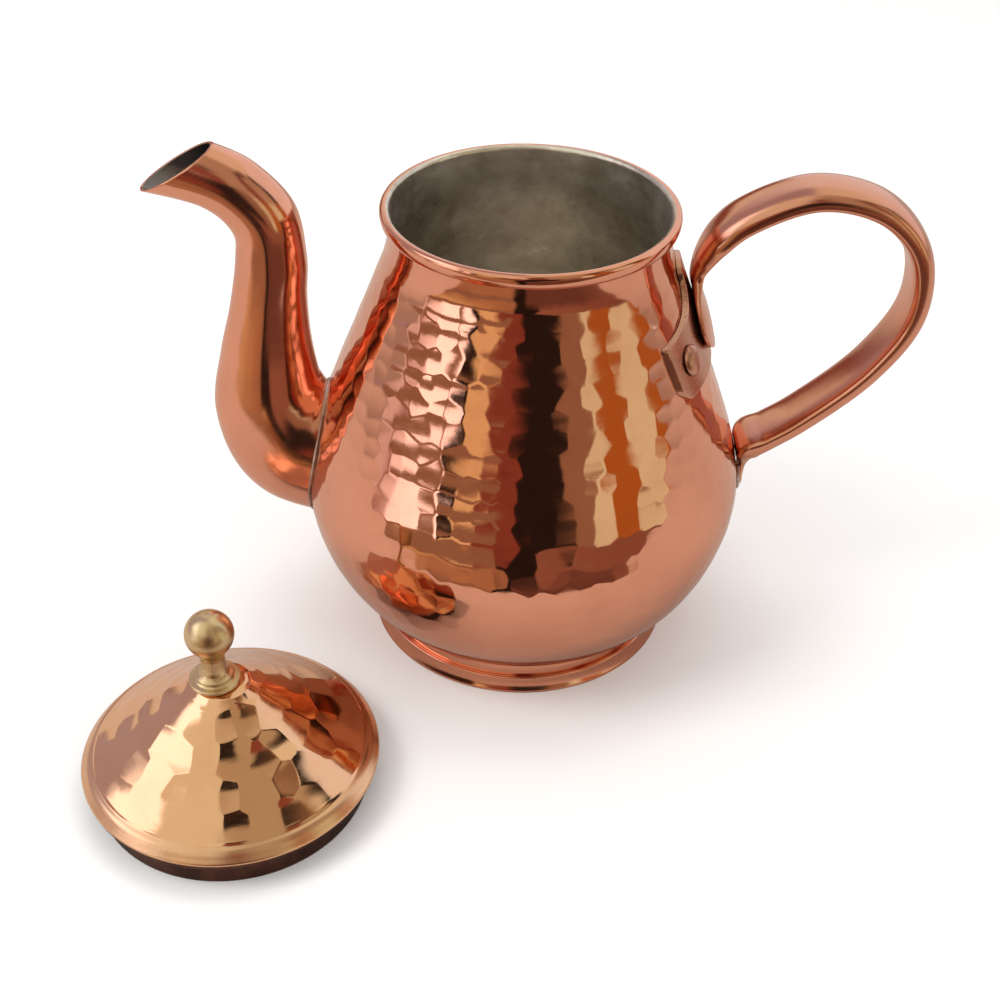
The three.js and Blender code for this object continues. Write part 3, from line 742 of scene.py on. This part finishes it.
CREASE_RADIUS = 41.4
LID_POINTS = [
    (LID_RADIUS, LID_EDGE_Z + 0.8),
    (43.9, 12.7),
    (CREASE_RADIUS, 15.2),
    (37.3, 18.4),
    (31.2, 23.3),
    (24.3, 28.4),
    (17.4, 33.8),
    (12, 37.8),
    (8.2, LID_TOP_Z),
]
LID_COLUMNS = 440
LID_MARK_SIZE = 8.2
LID_MARK_BOWL = 48
LID_MARKS_START = 5  # from the crease to the first row of marks
CREASE_DEPTH = 0.3
CREASE_WIDTH = 0.6
CREASE_STEP = 0.2  # the dome lies this much lower than the brim
BRIM_SWELL = 0.15  # the brim swells a little just outside the crease
BRIM_SWELL_PLACE = 2.2
BRIM_SWELL_WIDTH = 1.2
COLLAR_RADIUS = 41.4


def lid_dome():
    """Hammered dome, a creased line, and a smooth brim with a rounded edge."""
    angles = np.linspace(0, TURN, LID_COLUMNS, endpoint=False)
    line = smooth_line(LID_POINTS, 0.45)
    normals = outward_normals(line)
    along = lengths(line)
    crease = np.interp(-CREASE_RADIUS, -line[:, 0], along)
    first = crease + LID_MARKS_START
    last = along[-1] - 1
    marks = hammered(along, line[:, 0], angles, first, last, LID_MARK_SIZE, LID_MARK_BOWL, seed=19)
    groove = -CREASE_DEPTH * np.exp(-(((along - crease) / CREASE_WIDTH) ** 2))
    groove = groove - CREASE_STEP * smoothstep(0, 1.6, along - crease)
    brim_swell = BRIM_SWELL * np.exp(-(((along - crease + BRIM_SWELL_PLACE) / BRIM_SWELL_WIDTH) ** 2))
    waves = handmade(along, angles, 0.13, seed=29)
    lift = marks + (groove + brim_swell)[:, None] + waves
    outer_radii = line[:, :1] + normals[:, :1] * lift
    outer_heights = line[:, 1:] + normals[:, 1:] * lift
    inner_radii = (line[:, :1] - normals[:, :1] * SHEET)[::2]
    inner_heights = (line[:, 1:] - normals[:, 1:] * SHEET)[::2]
    ones = np.ones(LID_COLUMNS)
    top = np.array([(4.5, LID_TOP_Z), (0.3, LID_TOP_Z)])
    under_top = np.array([(0.3, LID_TOP_Z - SHEET), (4.5, LID_TOP_Z - SHEET)])
    soft = 0.4
    edge = arc((LID_RADIUS - SHEET / 2, LID_EDGE_Z + soft), SHEET / 2, 180, 360, 12)
    radii = np.concatenate([
        under_top[:, :1] * ones,
        inner_radii[::-1] * ones,
        edge[:, :1] * ones + waves[:1],
        outer_radii,
        top[:, :1] * ones,
    ])
    heights = np.concatenate([
        under_top[:, 1:] * ones,
        inner_heights[::-1] * ones,
        edge[:, 1:] * ones,
        outer_heights,
        top[:, 1:] * ones,
    ])
    inside = len(under_top) + len(inner_radii)
    brim_rows = len(edge) + np.count_nonzero(along < crease)
    slots = np.zeros(len(radii), int)
    slots[:inside] = 1
    slots[inside:inside + brim_rows] = 2
    return grid_object("hammered_lid", lathe(radii, heights, angles, LID_CENTRE), False, slots)


def lid_collar():
    """Collar that drops into the mouth, with a flange soldered under the brim."""
    radius = COLLAR_RADIUS
    sheet = 0.8
    flange = LID_RADIUS - 0.4
    top = COLLAR_TOP_Z
    soft = 0.35
    profile = np.concatenate([
        arc((radius - sheet / 2, soft), sheet / 2 - 0.02, 180, 360, 9),
        [(radius, 1.2), (radius - 0.05, 3.2), (radius + 0.05, 5.8), (radius, top - sheet - 0.6)],
        arc((radius + 0.5, top - sheet - 0.5), 0.5, 180, 90, 5),
        [(flange, top - sheet), (flange, top)],
        [(radius - sheet + 0.5, top), (radius - sheet, top - 0.5), (radius - sheet, 4)],
    ])
    item = grid_object("lid_skirt", turned(profile, 320, LID_CENTRE), True)
    keep_corners(item, 50)
    return item


# ---------------------------------------------------------------- knob


def knob_ball():
    """Turned ball with a small flat where it was parted off."""
    line = arc((0, 0), BALL_RADIUS, -88.5, 80, 84)
    flat = [(1.05, line[-1, 1] - 0.05), (0.75, line[-1, 1] - 0.12), (0.1, line[-1, 1] - 0.1)]
    profile = np.concatenate([line, flat])
    return grid_object("brass_ball", turned(profile, 128, BALL_CENTRE))


def knob_stem():
    """Turned foot of the knob: flange, step, cove, stem and the spigot through the lid."""
    flange_low = LID_TOP_Z + GAP
    spigot = 2.2
    flange = (STEM_HIGH[0] - STEM_LOW[0]) / 2
    seat = BALL_LOW[2] + 0.35
    profile = np.concatenate([
        [(0.1, STEM_LOW[2]), (spigot - 0.3, STEM_LOW[2]), (spigot, STEM_LOW[2] + 0.3)],
        [(spigot, flange_low), (flange - 0.5, flange_low)],
        arc((flange - 0.55, flange_low + 0.65), 0.6, -80, 80, 9),
        [(6.1, flange_low + 1.5), (5.7, flange_low + 1.75)],
        arc((5.1, flange_low + 2.4), 0.45, -40, 70, 6),
        [(4.6, flange_low + 3.2), (4.05, flange_low + 3.9), (3.75, flange_low + 5), (3.6, flange_low + 6.5)],
        [(3.6, seat - 1.9), (3.75, seat - 0.9), (4.1, seat - 0.2), (3.2, seat + 0.25), (0.1, seat + 0.3)],
    ])
    item = grid_object("brass_stem", turned(evenly(profile, 0.12), 128, KNOB_CENTRE))
    keep_corners(item, 50)
    return item


# ---------------------------------------------------------------- material helpers


class Tree:
    """Short hand for making and joining shader nodes."""

    def __init__(self, owner):
        owner.use_nodes = True
        self.tree = owner.node_tree
        self.tree.nodes.clear()

    def add(self, kind, inputs=None, **settings):
        node = self.tree.nodes.new(kind)
        for key, value in settings.items():
            setattr(node, key, value)
        for key, value in (inputs or {}).items():
            self.feed(node.inputs[key], value)
        return node

    def feed(self, socket, value):
        if isinstance(value, bpy.types.NodeSocket):
            self.tree.links.new(value, socket)
        else:
            socket.default_value = value

    def math(self, operation, a, b=0.0, clamp=False):
        return self.add("ShaderNodeMath", {0: a, 1: b}, operation=operation, use_clamp=clamp).outputs[0]

    def noise(self, vector, scale, detail=3.0, rough=0.55):
        node = self.add("ShaderNodeTexNoise", {"Vector": vector, "Scale": scale, "Detail": detail,
                                               "Roughness": rough})
        return node.outputs["Fac"]

    def ranged(self, value, low, high, to_low, to_high):
        inputs = {"Value": value, "From Min": low, "From Max": high, "To Min": to_low, "To Max": to_high}
        return self.add("ShaderNodeMapRange", inputs).outputs["Result"]

    def blend(self, factor, a, b):
        node = self.add("ShaderNodeMix", data_type="RGBA")
        self.feed(node.inputs["Factor"], factor)
        self.feed(node.inputs["A"], a)
        self.feed(node.inputs["B"], b)
        return node.outputs["Result"]

    def stretched(self, vector, scale):
        return self.add("ShaderNodeMapping", {"Vector": vector, "Scale": scale}).outputs["Vector"]

    def bump(self, height, strength, distance):
        inputs = {"Height": height, "Strength": strength, "Distance": distance}
        return self.add("ShaderNodeBump", inputs).outputs["Normal"]

    def ramp(self, factor, stops):
        node = self.add("ShaderNodeValToRGB", {"Fac": factor})
        elements = node.color_ramp.elements
        while len(elements) > 1:
            elements.remove(elements[-1])
        elements[0].position = stops[0][0]
        elements[0].color = (*stops[0][1], 1)
        for position, colour in stops[1:]:
            elements.new(position).color = (*colour, 1)
        return node.outputs["Color"]

    def metal_surface(self, colour, roughness, normal, metallic=1.0):
        shader = self.add("ShaderNodeBsdfPrincipled", {
            "Base Color": colour, "Metallic": metallic, "Roughness": roughness, "Normal": normal})
        out = self.add("ShaderNodeOutputMaterial")
        self.feed(out.inputs["Surface"], shader.outputs["BSDF"])


def rgb(red, green, blue):
    return (red, green, blue, 1.0)


def metal(name, bright, dull, rough_low, rough_high, grain, grain_bump, tarnish=0.5):
    """A worn metal: two tones in slow patches, fine scratches along u or v, and uneven polish."""
    material = bpy.data.materials.new(name)
    t = Tree(material)
    place = t.add("ShaderNodeTexCoord")
    body = place.outputs["Object"]
    patches = t.noise(body, 38, 4, 0.6)
    specks = t.noise(body, 260, 3, 0.6)
    amount = t.ranged(patches, 0.4, 0.72, 0, tarnish)
    amount = t.math("ADD", amount, t.ranged(specks, 0.55, 0.8, 0, 0.18), clamp=True)
    colour = t.blend(amount, bright, dull)
    scratches = t.noise(t.stretched(place.outputs["UV"], grain), 1, 5, 0.7)
    polish = t.math("ADD", t.ranged(patches, 0.3, 0.75, rough_low, rough_high),
                    t.ranged(scratches, 0.45, 0.8, 0, 0.07))
    normal = t.bump(scratches, grain_bump, 0.00004)
    t.metal_surface(colour, polish, normal)
    return material


def tinned(name, clean, stained):
    """Dull hand-wiped tin: grey with warm stains and soft wipe marks."""
    material = bpy.data.materials.new(name)
    t = Tree(material)
    place = t.add("ShaderNodeTexCoord")
    body = place.outputs["Object"]
    stains = t.noise(body, 45, 5, 0.65)
    wipes = t.noise(t.stretched(body, (60, 60, 140)), 1, 5, 0.7)
    colour = t.blend(t.ranged(stains, 0.35, 0.68, 0, 1), clean, stained)
    colour = t.blend(t.ranged(wipes, 0.5, 0.75, 0, 0.45), colour, clean)
    rough = t.ranged(wipes, 0.3, 0.7, 0.24, 0.42)
    normal = t.bump(t.math("ADD", wipes, stains), 0.5, 0.0006)
    t.metal_surface(colour, rough, normal, metallic=0.92)
    return material


def dark_copper(name):
    """Unpolished, heat-darkened copper of the lid's collar."""
    material = bpy.data.materials.new(name)
    t = Tree(material)
    place = t.add("ShaderNodeTexCoord")
    body = place.outputs["Object"]
    stains = t.noise(body, 70, 5, 0.65)
    lines = t.noise(t.stretched(place.outputs["UV"], (6, 260, 1)), 1, 4, 0.6)
    colour = t.blend(t.ranged(stains, 0.35, 0.65, 0, 1), rgb(0.16, 0.07, 0.05), rgb(0.05, 0.025, 0.022))
    rough = t.ranged(lines, 0.3, 0.7, 0.24, 0.44)
    normal = t.bump(lines, 0.4, 0.0002)
    t.metal_surface(colour, rough, normal)
    return material


# ---------------------------------------------------------------- stage, light and camera

TABLE_EDGE_Y = -0.176
FLOOR_SIZE = 24
FLOOR_DROP = 0.00005  # the floor lies this far under the foot, so that their faces don't flicker
FLOOR_TONE = (0.9, 0.89, 0.88)
# The floor as reflections see it: painted shade, darker and browner than the lit floor, standing for its
# shadowed part round the pot.
FLOOR_SHADE_IN_REFLECTIONS = (0.52, 0.45, 0.40)
# The floor after more than one glossy bounce: painted shade that darkens the copper's reflections of itself.
FLOOR_SHADE_REFLECTED_TWICE = (0.32, 0.27, 0.24)


def pale_floor():
    """A wide pale floor; reflections see it darker, as painted shade for the floor's shadowed part round the
    pot, and darker again after more than one glossy bounce, as painted shade in the copper's reflections of
    itself, and only as far as a table's edge near the lid.
    """
    bpy.ops.mesh.primitive_plane_add(size=FLOOR_SIZE, location=(0, 0, -FLOOR_DROP))
    floor = bpy.context.active_object
    floor.name = "floor"
    material = bpy.data.materials.new("pale_floor")
    t = Tree(material)
    spot = t.add("ShaderNodeNewGeometry").outputs["Position"]
    y = t.add("ShaderNodeSeparateXYZ", {"Vector": spot}).outputs["Y"]
    ray = t.add("ShaderNodeLightPath")
    glossy = ray.outputs["Is Glossy Ray"]
    beyond = t.math("LESS_THAN", y, TABLE_EDGE_Y)
    # Painted shade: reflections see the floor darker than the camera does.
    tone = t.blend(glossy, rgb(*FLOOR_TONE), rgb(*FLOOR_SHADE_IN_REFLECTIONS))
    # Painted shade: reflections of reflections see the floor darker still.
    twice = t.math("GREATER_THAN", ray.outputs["Glossy Depth"], 1.5)
    tone = t.blend(twice, tone, rgb(*FLOOR_SHADE_REFLECTED_TWICE))
    paint = t.add("ShaderNodeBsdfDiffuse", {"Color": tone})
    clear = t.add("ShaderNodeBsdfTransparent")
    both = t.add("ShaderNodeMixShader", {"Fac": t.math("MULTIPLY", glossy, beyond)})
    t.feed(both.inputs[1], paint.outputs[0])
    t.feed(both.inputs[2], clear.outputs[0])
    out = t.add("ShaderNodeOutputMaterial")
    t.feed(out.inputs["Surface"], both.outputs[0])
    floor.data.materials.append(material)


WHITE = (0.86, 0.86, 0.88)
WINDOW = (1.7, 1.7, 1.8)
CREAM = (0.72, 0.82, 0.58)
IVORY = (0.78, 0.76, 0.62)
TAN = (0.46, 0.38, 0.27)
MAUVE = (0.42, 0.36, 0.42)
PINK = (0.78, 0.68, 0.70)
GOLD = (0.80, 0.66, 0.36)
WOOD = (0.42, 0.155, 0.03)
BROWN = (0.30, 0.19, 0.12)
RUST = (0.24, 0.07, 0.045)
DARK = (0.02, 0.014, 0.012)

# Colours round the room at eye level. Degrees are measured from the camera's side, + to the right.
ROOM_BANDS = [
    (-150, RUST), (-130, MAUVE), (-92, MAUVE), (-88, PINK), (-80, PINK), (-78, RUST), (-75, PINK),
    (-65, WINDOW), (-52, WINDOW), (-51, BROWN), (-48, BROWN), (-47, WINDOW), (-42, WINDOW), (-41, DARK),
    (-38, DARK), (-36, GOLD), (-24, GOLD), (-21, RUST), (-5, RUST), (-2, DARK), (19, DARK), (22, BROWN),
    (36, BROWN), (38, CREAM), (46, CREAM), (47, WOOD), (60, WOOD), (61, CREAM), (79, CREAM), (81, WOOD),
    (93, WOOD), (99, WHITE),
]
# Past the table's edge, below eye level.
FLOOR_BANDS = [
    (-180, WHITE), (-100, WHITE), (-90, GOLD), (-30, (0.50, 0.30, 0.14)), (-12, (0.36, 0.20, 0.11)),
    (-10, DARK), (5, DARK), (8, (0.30, 0.15, 0.10)), (60, (0.26, 0.12, 0.08)), (88, (0.2, 0.09, 0.06)),
    (97, WHITE), (180, WHITE),
]
# Far below eye level, past the table's edge.
GROUND_BANDS = [
    (-180, WHITE), (-100, WHITE), (-80, (0.35, 0.18, 0.12)), (-40, (0.42, 0.25, 0.14)),
    (-12, (0.42, 0.25, 0.14)), (-10, DARK), (-4, DARK), (-2, (0.15, 0.07, 0.05)), (40, (0.15, 0.07, 0.05)),
    (70, (0.28, 0.14, 0.10)), (97, WHITE), (180, WHITE),
]
# High on the walls.
HIGH_BANDS = [
    (-180, WHITE), (-135, MAUVE), (-100, MAUVE), (-96, WINDOW), (-62, WINDOW), (-59, IVORY), (-3, IVORY),
    (-1, RUST), (13, RUST), (15, TAN), (44, TAN), (48, RUST), (58, RUST), (62, TAN), (84, TAN), (88, DARK),
    (95, DARK), (99, WHITE), (180, WHITE),
]
# Where the walls meet the ceiling.
TOP_BANDS = [
    (-140, MAUVE), (-104, MAUVE), (-96, WINDOW), (-70, IVORY), (-3, IVORY), (-1, DARK), (14, DARK),
    (16, TAN), (52, TAN), (56, DARK), (80, BROWN), (90, IVORY),
]
CEILING_BANDS = [(-120, MAUVE), (-96, IVORY), (-20, IVORY), (10, TAN), (70, TAN), (90, IVORY)]
# Heights below are the z of a unit view vector, and each pair is where one set of colours gives way
# to the next one up. Turns are shares of a full turn, from behind the pot round by the left.
GROUND_TO_FLOOR = (-0.36, -0.28)
FLOOR_TO_ROOM = (-0.16, -0.13)
ROOM_TO_HIGH = (0.36, 0.42)
HIGH_TO_TOP = (0.70, 0.74)
TOP_TO_CEILING = (0.83, 0.86)
# Brown level bars across the windows on the left: their spacing in height, the share of it that each
# takes, and the turns between which they lie.
BAR_SPACING = 0.22
BAR_SHARE = 0.34
BARS_START = 0.24
BARS_END = 0.47
# Behind the pot, up to this turn, the dark wall is low, and ivory takes over above it.
BACK_END = 0.125
BACK_TO_IVORY = (0.2, 0.26)
BEARING_WAVER = 0.008
HEIGHT_WAVER = 0.03
PALE_LIGHT = (0.93, 0.925, 0.92)
PALE_STRENGTH = 0.86


def reflected_room():
    """World: even pale light, with a room of coloured bands that only reflections see."""
    world = bpy.data.worlds.new("room")
    bpy.context.scene.world = world
    t = Tree(world)
    direction = t.add("ShaderNodeTexCoord").outputs["Generated"]
    parts = t.add("ShaderNodeSeparateXYZ", {"Vector": direction})
    x, y, z = (parts.outputs[axis] for axis in "XYZ")
    bearing = t.math("ARCTAN2", x, t.math("MULTIPLY", y, -1.0))
    turn = t.math("ADD", t.math("DIVIDE", bearing, TURN), 0.5)
    uneven = t.noise(direction, 5, 3, 0.6)
    turn = t.math("ADD", turn, t.ranged(uneven, 0.3, 0.7, -BEARING_WAVER, BEARING_WAVER))
    height = t.math("ADD", z, t.ranged(uneven, 0.3, 0.7, -HEIGHT_WAVER, HEIGHT_WAVER))

    def bands(stops):
        return t.ramp(turn, [((degrees + 180) / 360, colour) for degrees, colour in stops])

    def above(limits):
        return t.ranged(height, *limits, 0, 1)

    below = t.blend(above(GROUND_TO_FLOOR), bands(GROUND_BANDS), bands(FLOOR_BANDS))
    room = t.blend(above(FLOOR_TO_ROOM), below, bands(ROOM_BANDS))
    rung = t.math("FRACT", t.math("DIVIDE", height, BAR_SPACING))
    is_bar = t.math("LESS_THAN", rung, BAR_SHARE)
    past_start = t.math("GREATER_THAN", turn, BARS_START)
    before_end = t.math("LESS_THAN", turn, BARS_END)
    is_window = t.math("MULTIPLY", past_start, before_end)
    room = t.blend(t.math("MULTIPLY", is_bar, is_window), room, rgb(*BROWN))
    is_back = t.math("LESS_THAN", turn, BACK_END)
    room = t.blend(t.math("MULTIPLY", is_back, above(BACK_TO_IVORY)), room, rgb(*IVORY))
    room = t.blend(above(ROOM_TO_HIGH), room, bands(HIGH_BANDS))
    room = t.blend(above(HIGH_TO_TOP), room, bands(TOP_BANDS))
    room = t.blend(above(TOP_TO_CEILING), room, bands(CEILING_BANDS))
    ray = t.add("ShaderNodeLightPath")
    glossy = t.add("ShaderNodeBackground", {"Color": room, "Strength": 1.0})
    pale = t.add("ShaderNodeBackground", {"Color": rgb(*PALE_LIGHT), "Strength": PALE_STRENGTH})
    both = t.add("ShaderNodeMixShader", {"Fac": ray.outputs["Is Glossy Ray"]})
    t.feed(both.inputs[1], pale.outputs[0])
    t.feed(both.inputs[2], glossy.outputs[0])
    out = t.add("ShaderNodeOutputWorld")
    t.feed(out.inputs["Surface"], both.outputs[0])


LIGHT_AIM = (0, 0, 0.08)
SOFT_BOXES = [
    # name, place, size, power, colour
    ("key", (-0.7, -0.35, 0.95), (0.5, 0.5), 5.0, (1.0, 0.98, 0.95)),
    ("fill", (0.9, -0.7, 0.9), (0.9, 0.9), 4.0, (1.0, 0.97, 0.94)),
    ("top", (0.0, 0.35, 1.2), (1.0, 0.8), 4.0, (0.97, 0.98, 1.0)),
]


def soft_box(name, location, size, power, colour):
    """A rectangular area light aimed at the pot, which reflections don't show."""
    data = bpy.data.lights.new(name, "AREA")
    data.shape = "RECTANGLE"
    data.size, data.size_y = size
    data.energy = power
    data.color = colour
    lamp = bpy.data.objects.new(name, data)
    lamp.location = location
    lamp.rotation_mode = "QUATERNION"
    lamp.rotation_quaternion = (Vector(LIGHT_AIM) - Vector(location)).to_track_quat("-Z", "Y")
    lamp.visible_glossy = False
    bpy.context.scene.collection.objects.link(lamp)


CAMERA_PLACE = (-7.265, -406.65, 348.39)
CAMERA_PITCH = 0.64595  # downwards, in radians
CAMERA_ROLL = 0.02165  # in radians
CAMERA_LENS = 53.594
SENSOR = 36


def photo_camera():
    """Camera at the reference view: above the table, looking along +Y and down."""
    data = bpy.data.cameras.new("camera")
    data.lens = CAMERA_LENS
    data.sensor_width = SENSOR
    data.clip_start = 0.01
    camera = bpy.data.objects.new("camera", data)
    ahead = Vector((0, math.cos(CAMERA_PITCH), -math.sin(CAMERA_PITCH)))
    up = Vector((0, math.sin(CAMERA_PITCH), math.cos(CAMERA_PITCH)))
    right = Vector((1, 0, 0))
    x_axis = right * math.cos(CAMERA_ROLL) + up * math.sin(CAMERA_ROLL)
    y_axis = up * math.cos(CAMERA_ROLL) - right * math.sin(CAMERA_ROLL)
    turn = Matrix((x_axis, y_axis, -ahead)).transposed().to_4x4()
    camera.matrix_world = Matrix.Translation(Vector(CAMERA_PLACE) * MM) @ turn
    bpy.context.scene.collection.objects.link(camera)
    bpy.context.scene.camera = camera


# ---------------------------------------------------------------- assembly

COPPER = rgb(0.90, 0.425, 0.28)
COPPER_DULL = rgb(0.72, 0.31, 0.20)
copper_hammered = metal("copper_hammered", COPPER, COPPER_DULL, 0.035, 0.09, (60, 60, 1), 0.25)
copper_smooth = metal("copper_smooth", COPPER, COPPER_DULL, 0.06, 0.14, (8, 90, 1), 0.3)
copper_spout = metal("copper_spout", COPPER, COPPER_DULL, 0.10, 0.18, (8, 90, 1), 0.35)
copper_plate = metal("copper_plate", rgb(0.70, 0.37, 0.26), rgb(0.50, 0.25, 0.17), 0.2, 0.32,
                     (30, 30, 1), 0.5)
copper_satin = metal("copper_satin", rgb(0.80, 0.38, 0.25), COPPER_DULL, 0.12, 0.2, (220, 5, 1), 0.5)
copper_golden = metal("copper_golden", rgb(0.95, 0.56, 0.33), rgb(0.82, 0.40, 0.22), 0.04, 0.1,
                      (40, 40, 1), 0.2)
copper_brim = metal("copper_brim", rgb(0.93, 0.58, 0.35), rgb(0.82, 0.42, 0.24), 0.2, 0.3,
                    (6, 120, 1), 0.3)
brass = metal("brass_turned", rgb(0.82, 0.62, 0.36), rgb(0.60, 0.43, 0.22), 0.22, 0.32, (5, 160, 1), 0.7)
solder = metal("solder_wiped", rgb(0.66, 0.62, 0.58), rgb(0.34, 0.19, 0.14), 0.24, 0.4,
               (30, 30, 1), 0.8, tarnish=2.4)
iron = metal("iron_wire", rgb(0.45, 0.45, 0.46), rgb(0.28, 0.25, 0.23), 0.4, 0.55, (10, 60, 1), 0.6)
tin = tinned("tin_lining", rgb(0.98, 0.92, 0.81), rgb(0.48, 0.41, 0.33))
# The tin inside the spout is painted far darker than the pot's lining: painted shade, as little light gets
# into the narrow spout.
shaded_spout_tin = tinned("tin_in_spout_painted_shade", rgb(0.24, 0.22, 0.21), rgb(0.12, 0.10, 0.09))
collar_copper = dark_copper("copper_darkened")

PIECES = [
    # maker, CAD node that the piece stands for, body, record slot, materials
    (body_shell, "body_shell", "pot", "hammered_copper", [copper_hammered, tin]),
    (foot_band, "base_disc", "pot", "plain_copper", [copper_smooth, tin]),
    (spout_tube, "spout", "pot", "plain_copper", [copper_spout, shaded_spout_tin]),
    (spout_solder, "spout_solder", "pot", "tin_solder", [solder]),
    (handle_strap, "handle_strap", "pot", "satin_copper", [copper_satin]),
    (handle_plate, "handle_plate", "pot", "plain_copper", [copper_plate]),
    (tab_solder, "handle_tab_solder", "pot", "tin_solder", [solder]),
    (lambda: rivet("rivet_near", -1), "rivet_front", "pot", "plain_copper", [copper_plate]),
    (lambda: rivet("rivet_far", 1), "rivet_back", "pot", "plain_copper", [copper_plate]),
    (lid_dome, "lid_dome", "lid", "golden_copper", [copper_golden, tin, copper_brim]),
    (lid_collar, "lid_collar", "lid", "plain_copper", [collar_copper]),
    (knob_stem, "knob_stem", "lid", "turned_brass", [brass]),
    (knob_ball, "knob_ball", "knob_ball", "turned_brass", [brass]),
]

for make, node, body, slot, materials in PIECES:
    item = make()
    for material in materials:
        item.data.materials.append(material)
    if make is body_shell:
        cut_spout_port(item)
    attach(item, body)
    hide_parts(node)

for node, material in (("rim_wire", iron), ("knob_washer", brass)):
    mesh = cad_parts[node].data
    mesh.materials.clear()
    mesh.materials.append(material)

pale_floor()
reflected_room()
for box in SOFT_BOXES:
    soft_box(*box)
photo_camera()

settings = bpy.context.scene.view_settings
settings.view_transform = "Standard"
settings.look = "None"
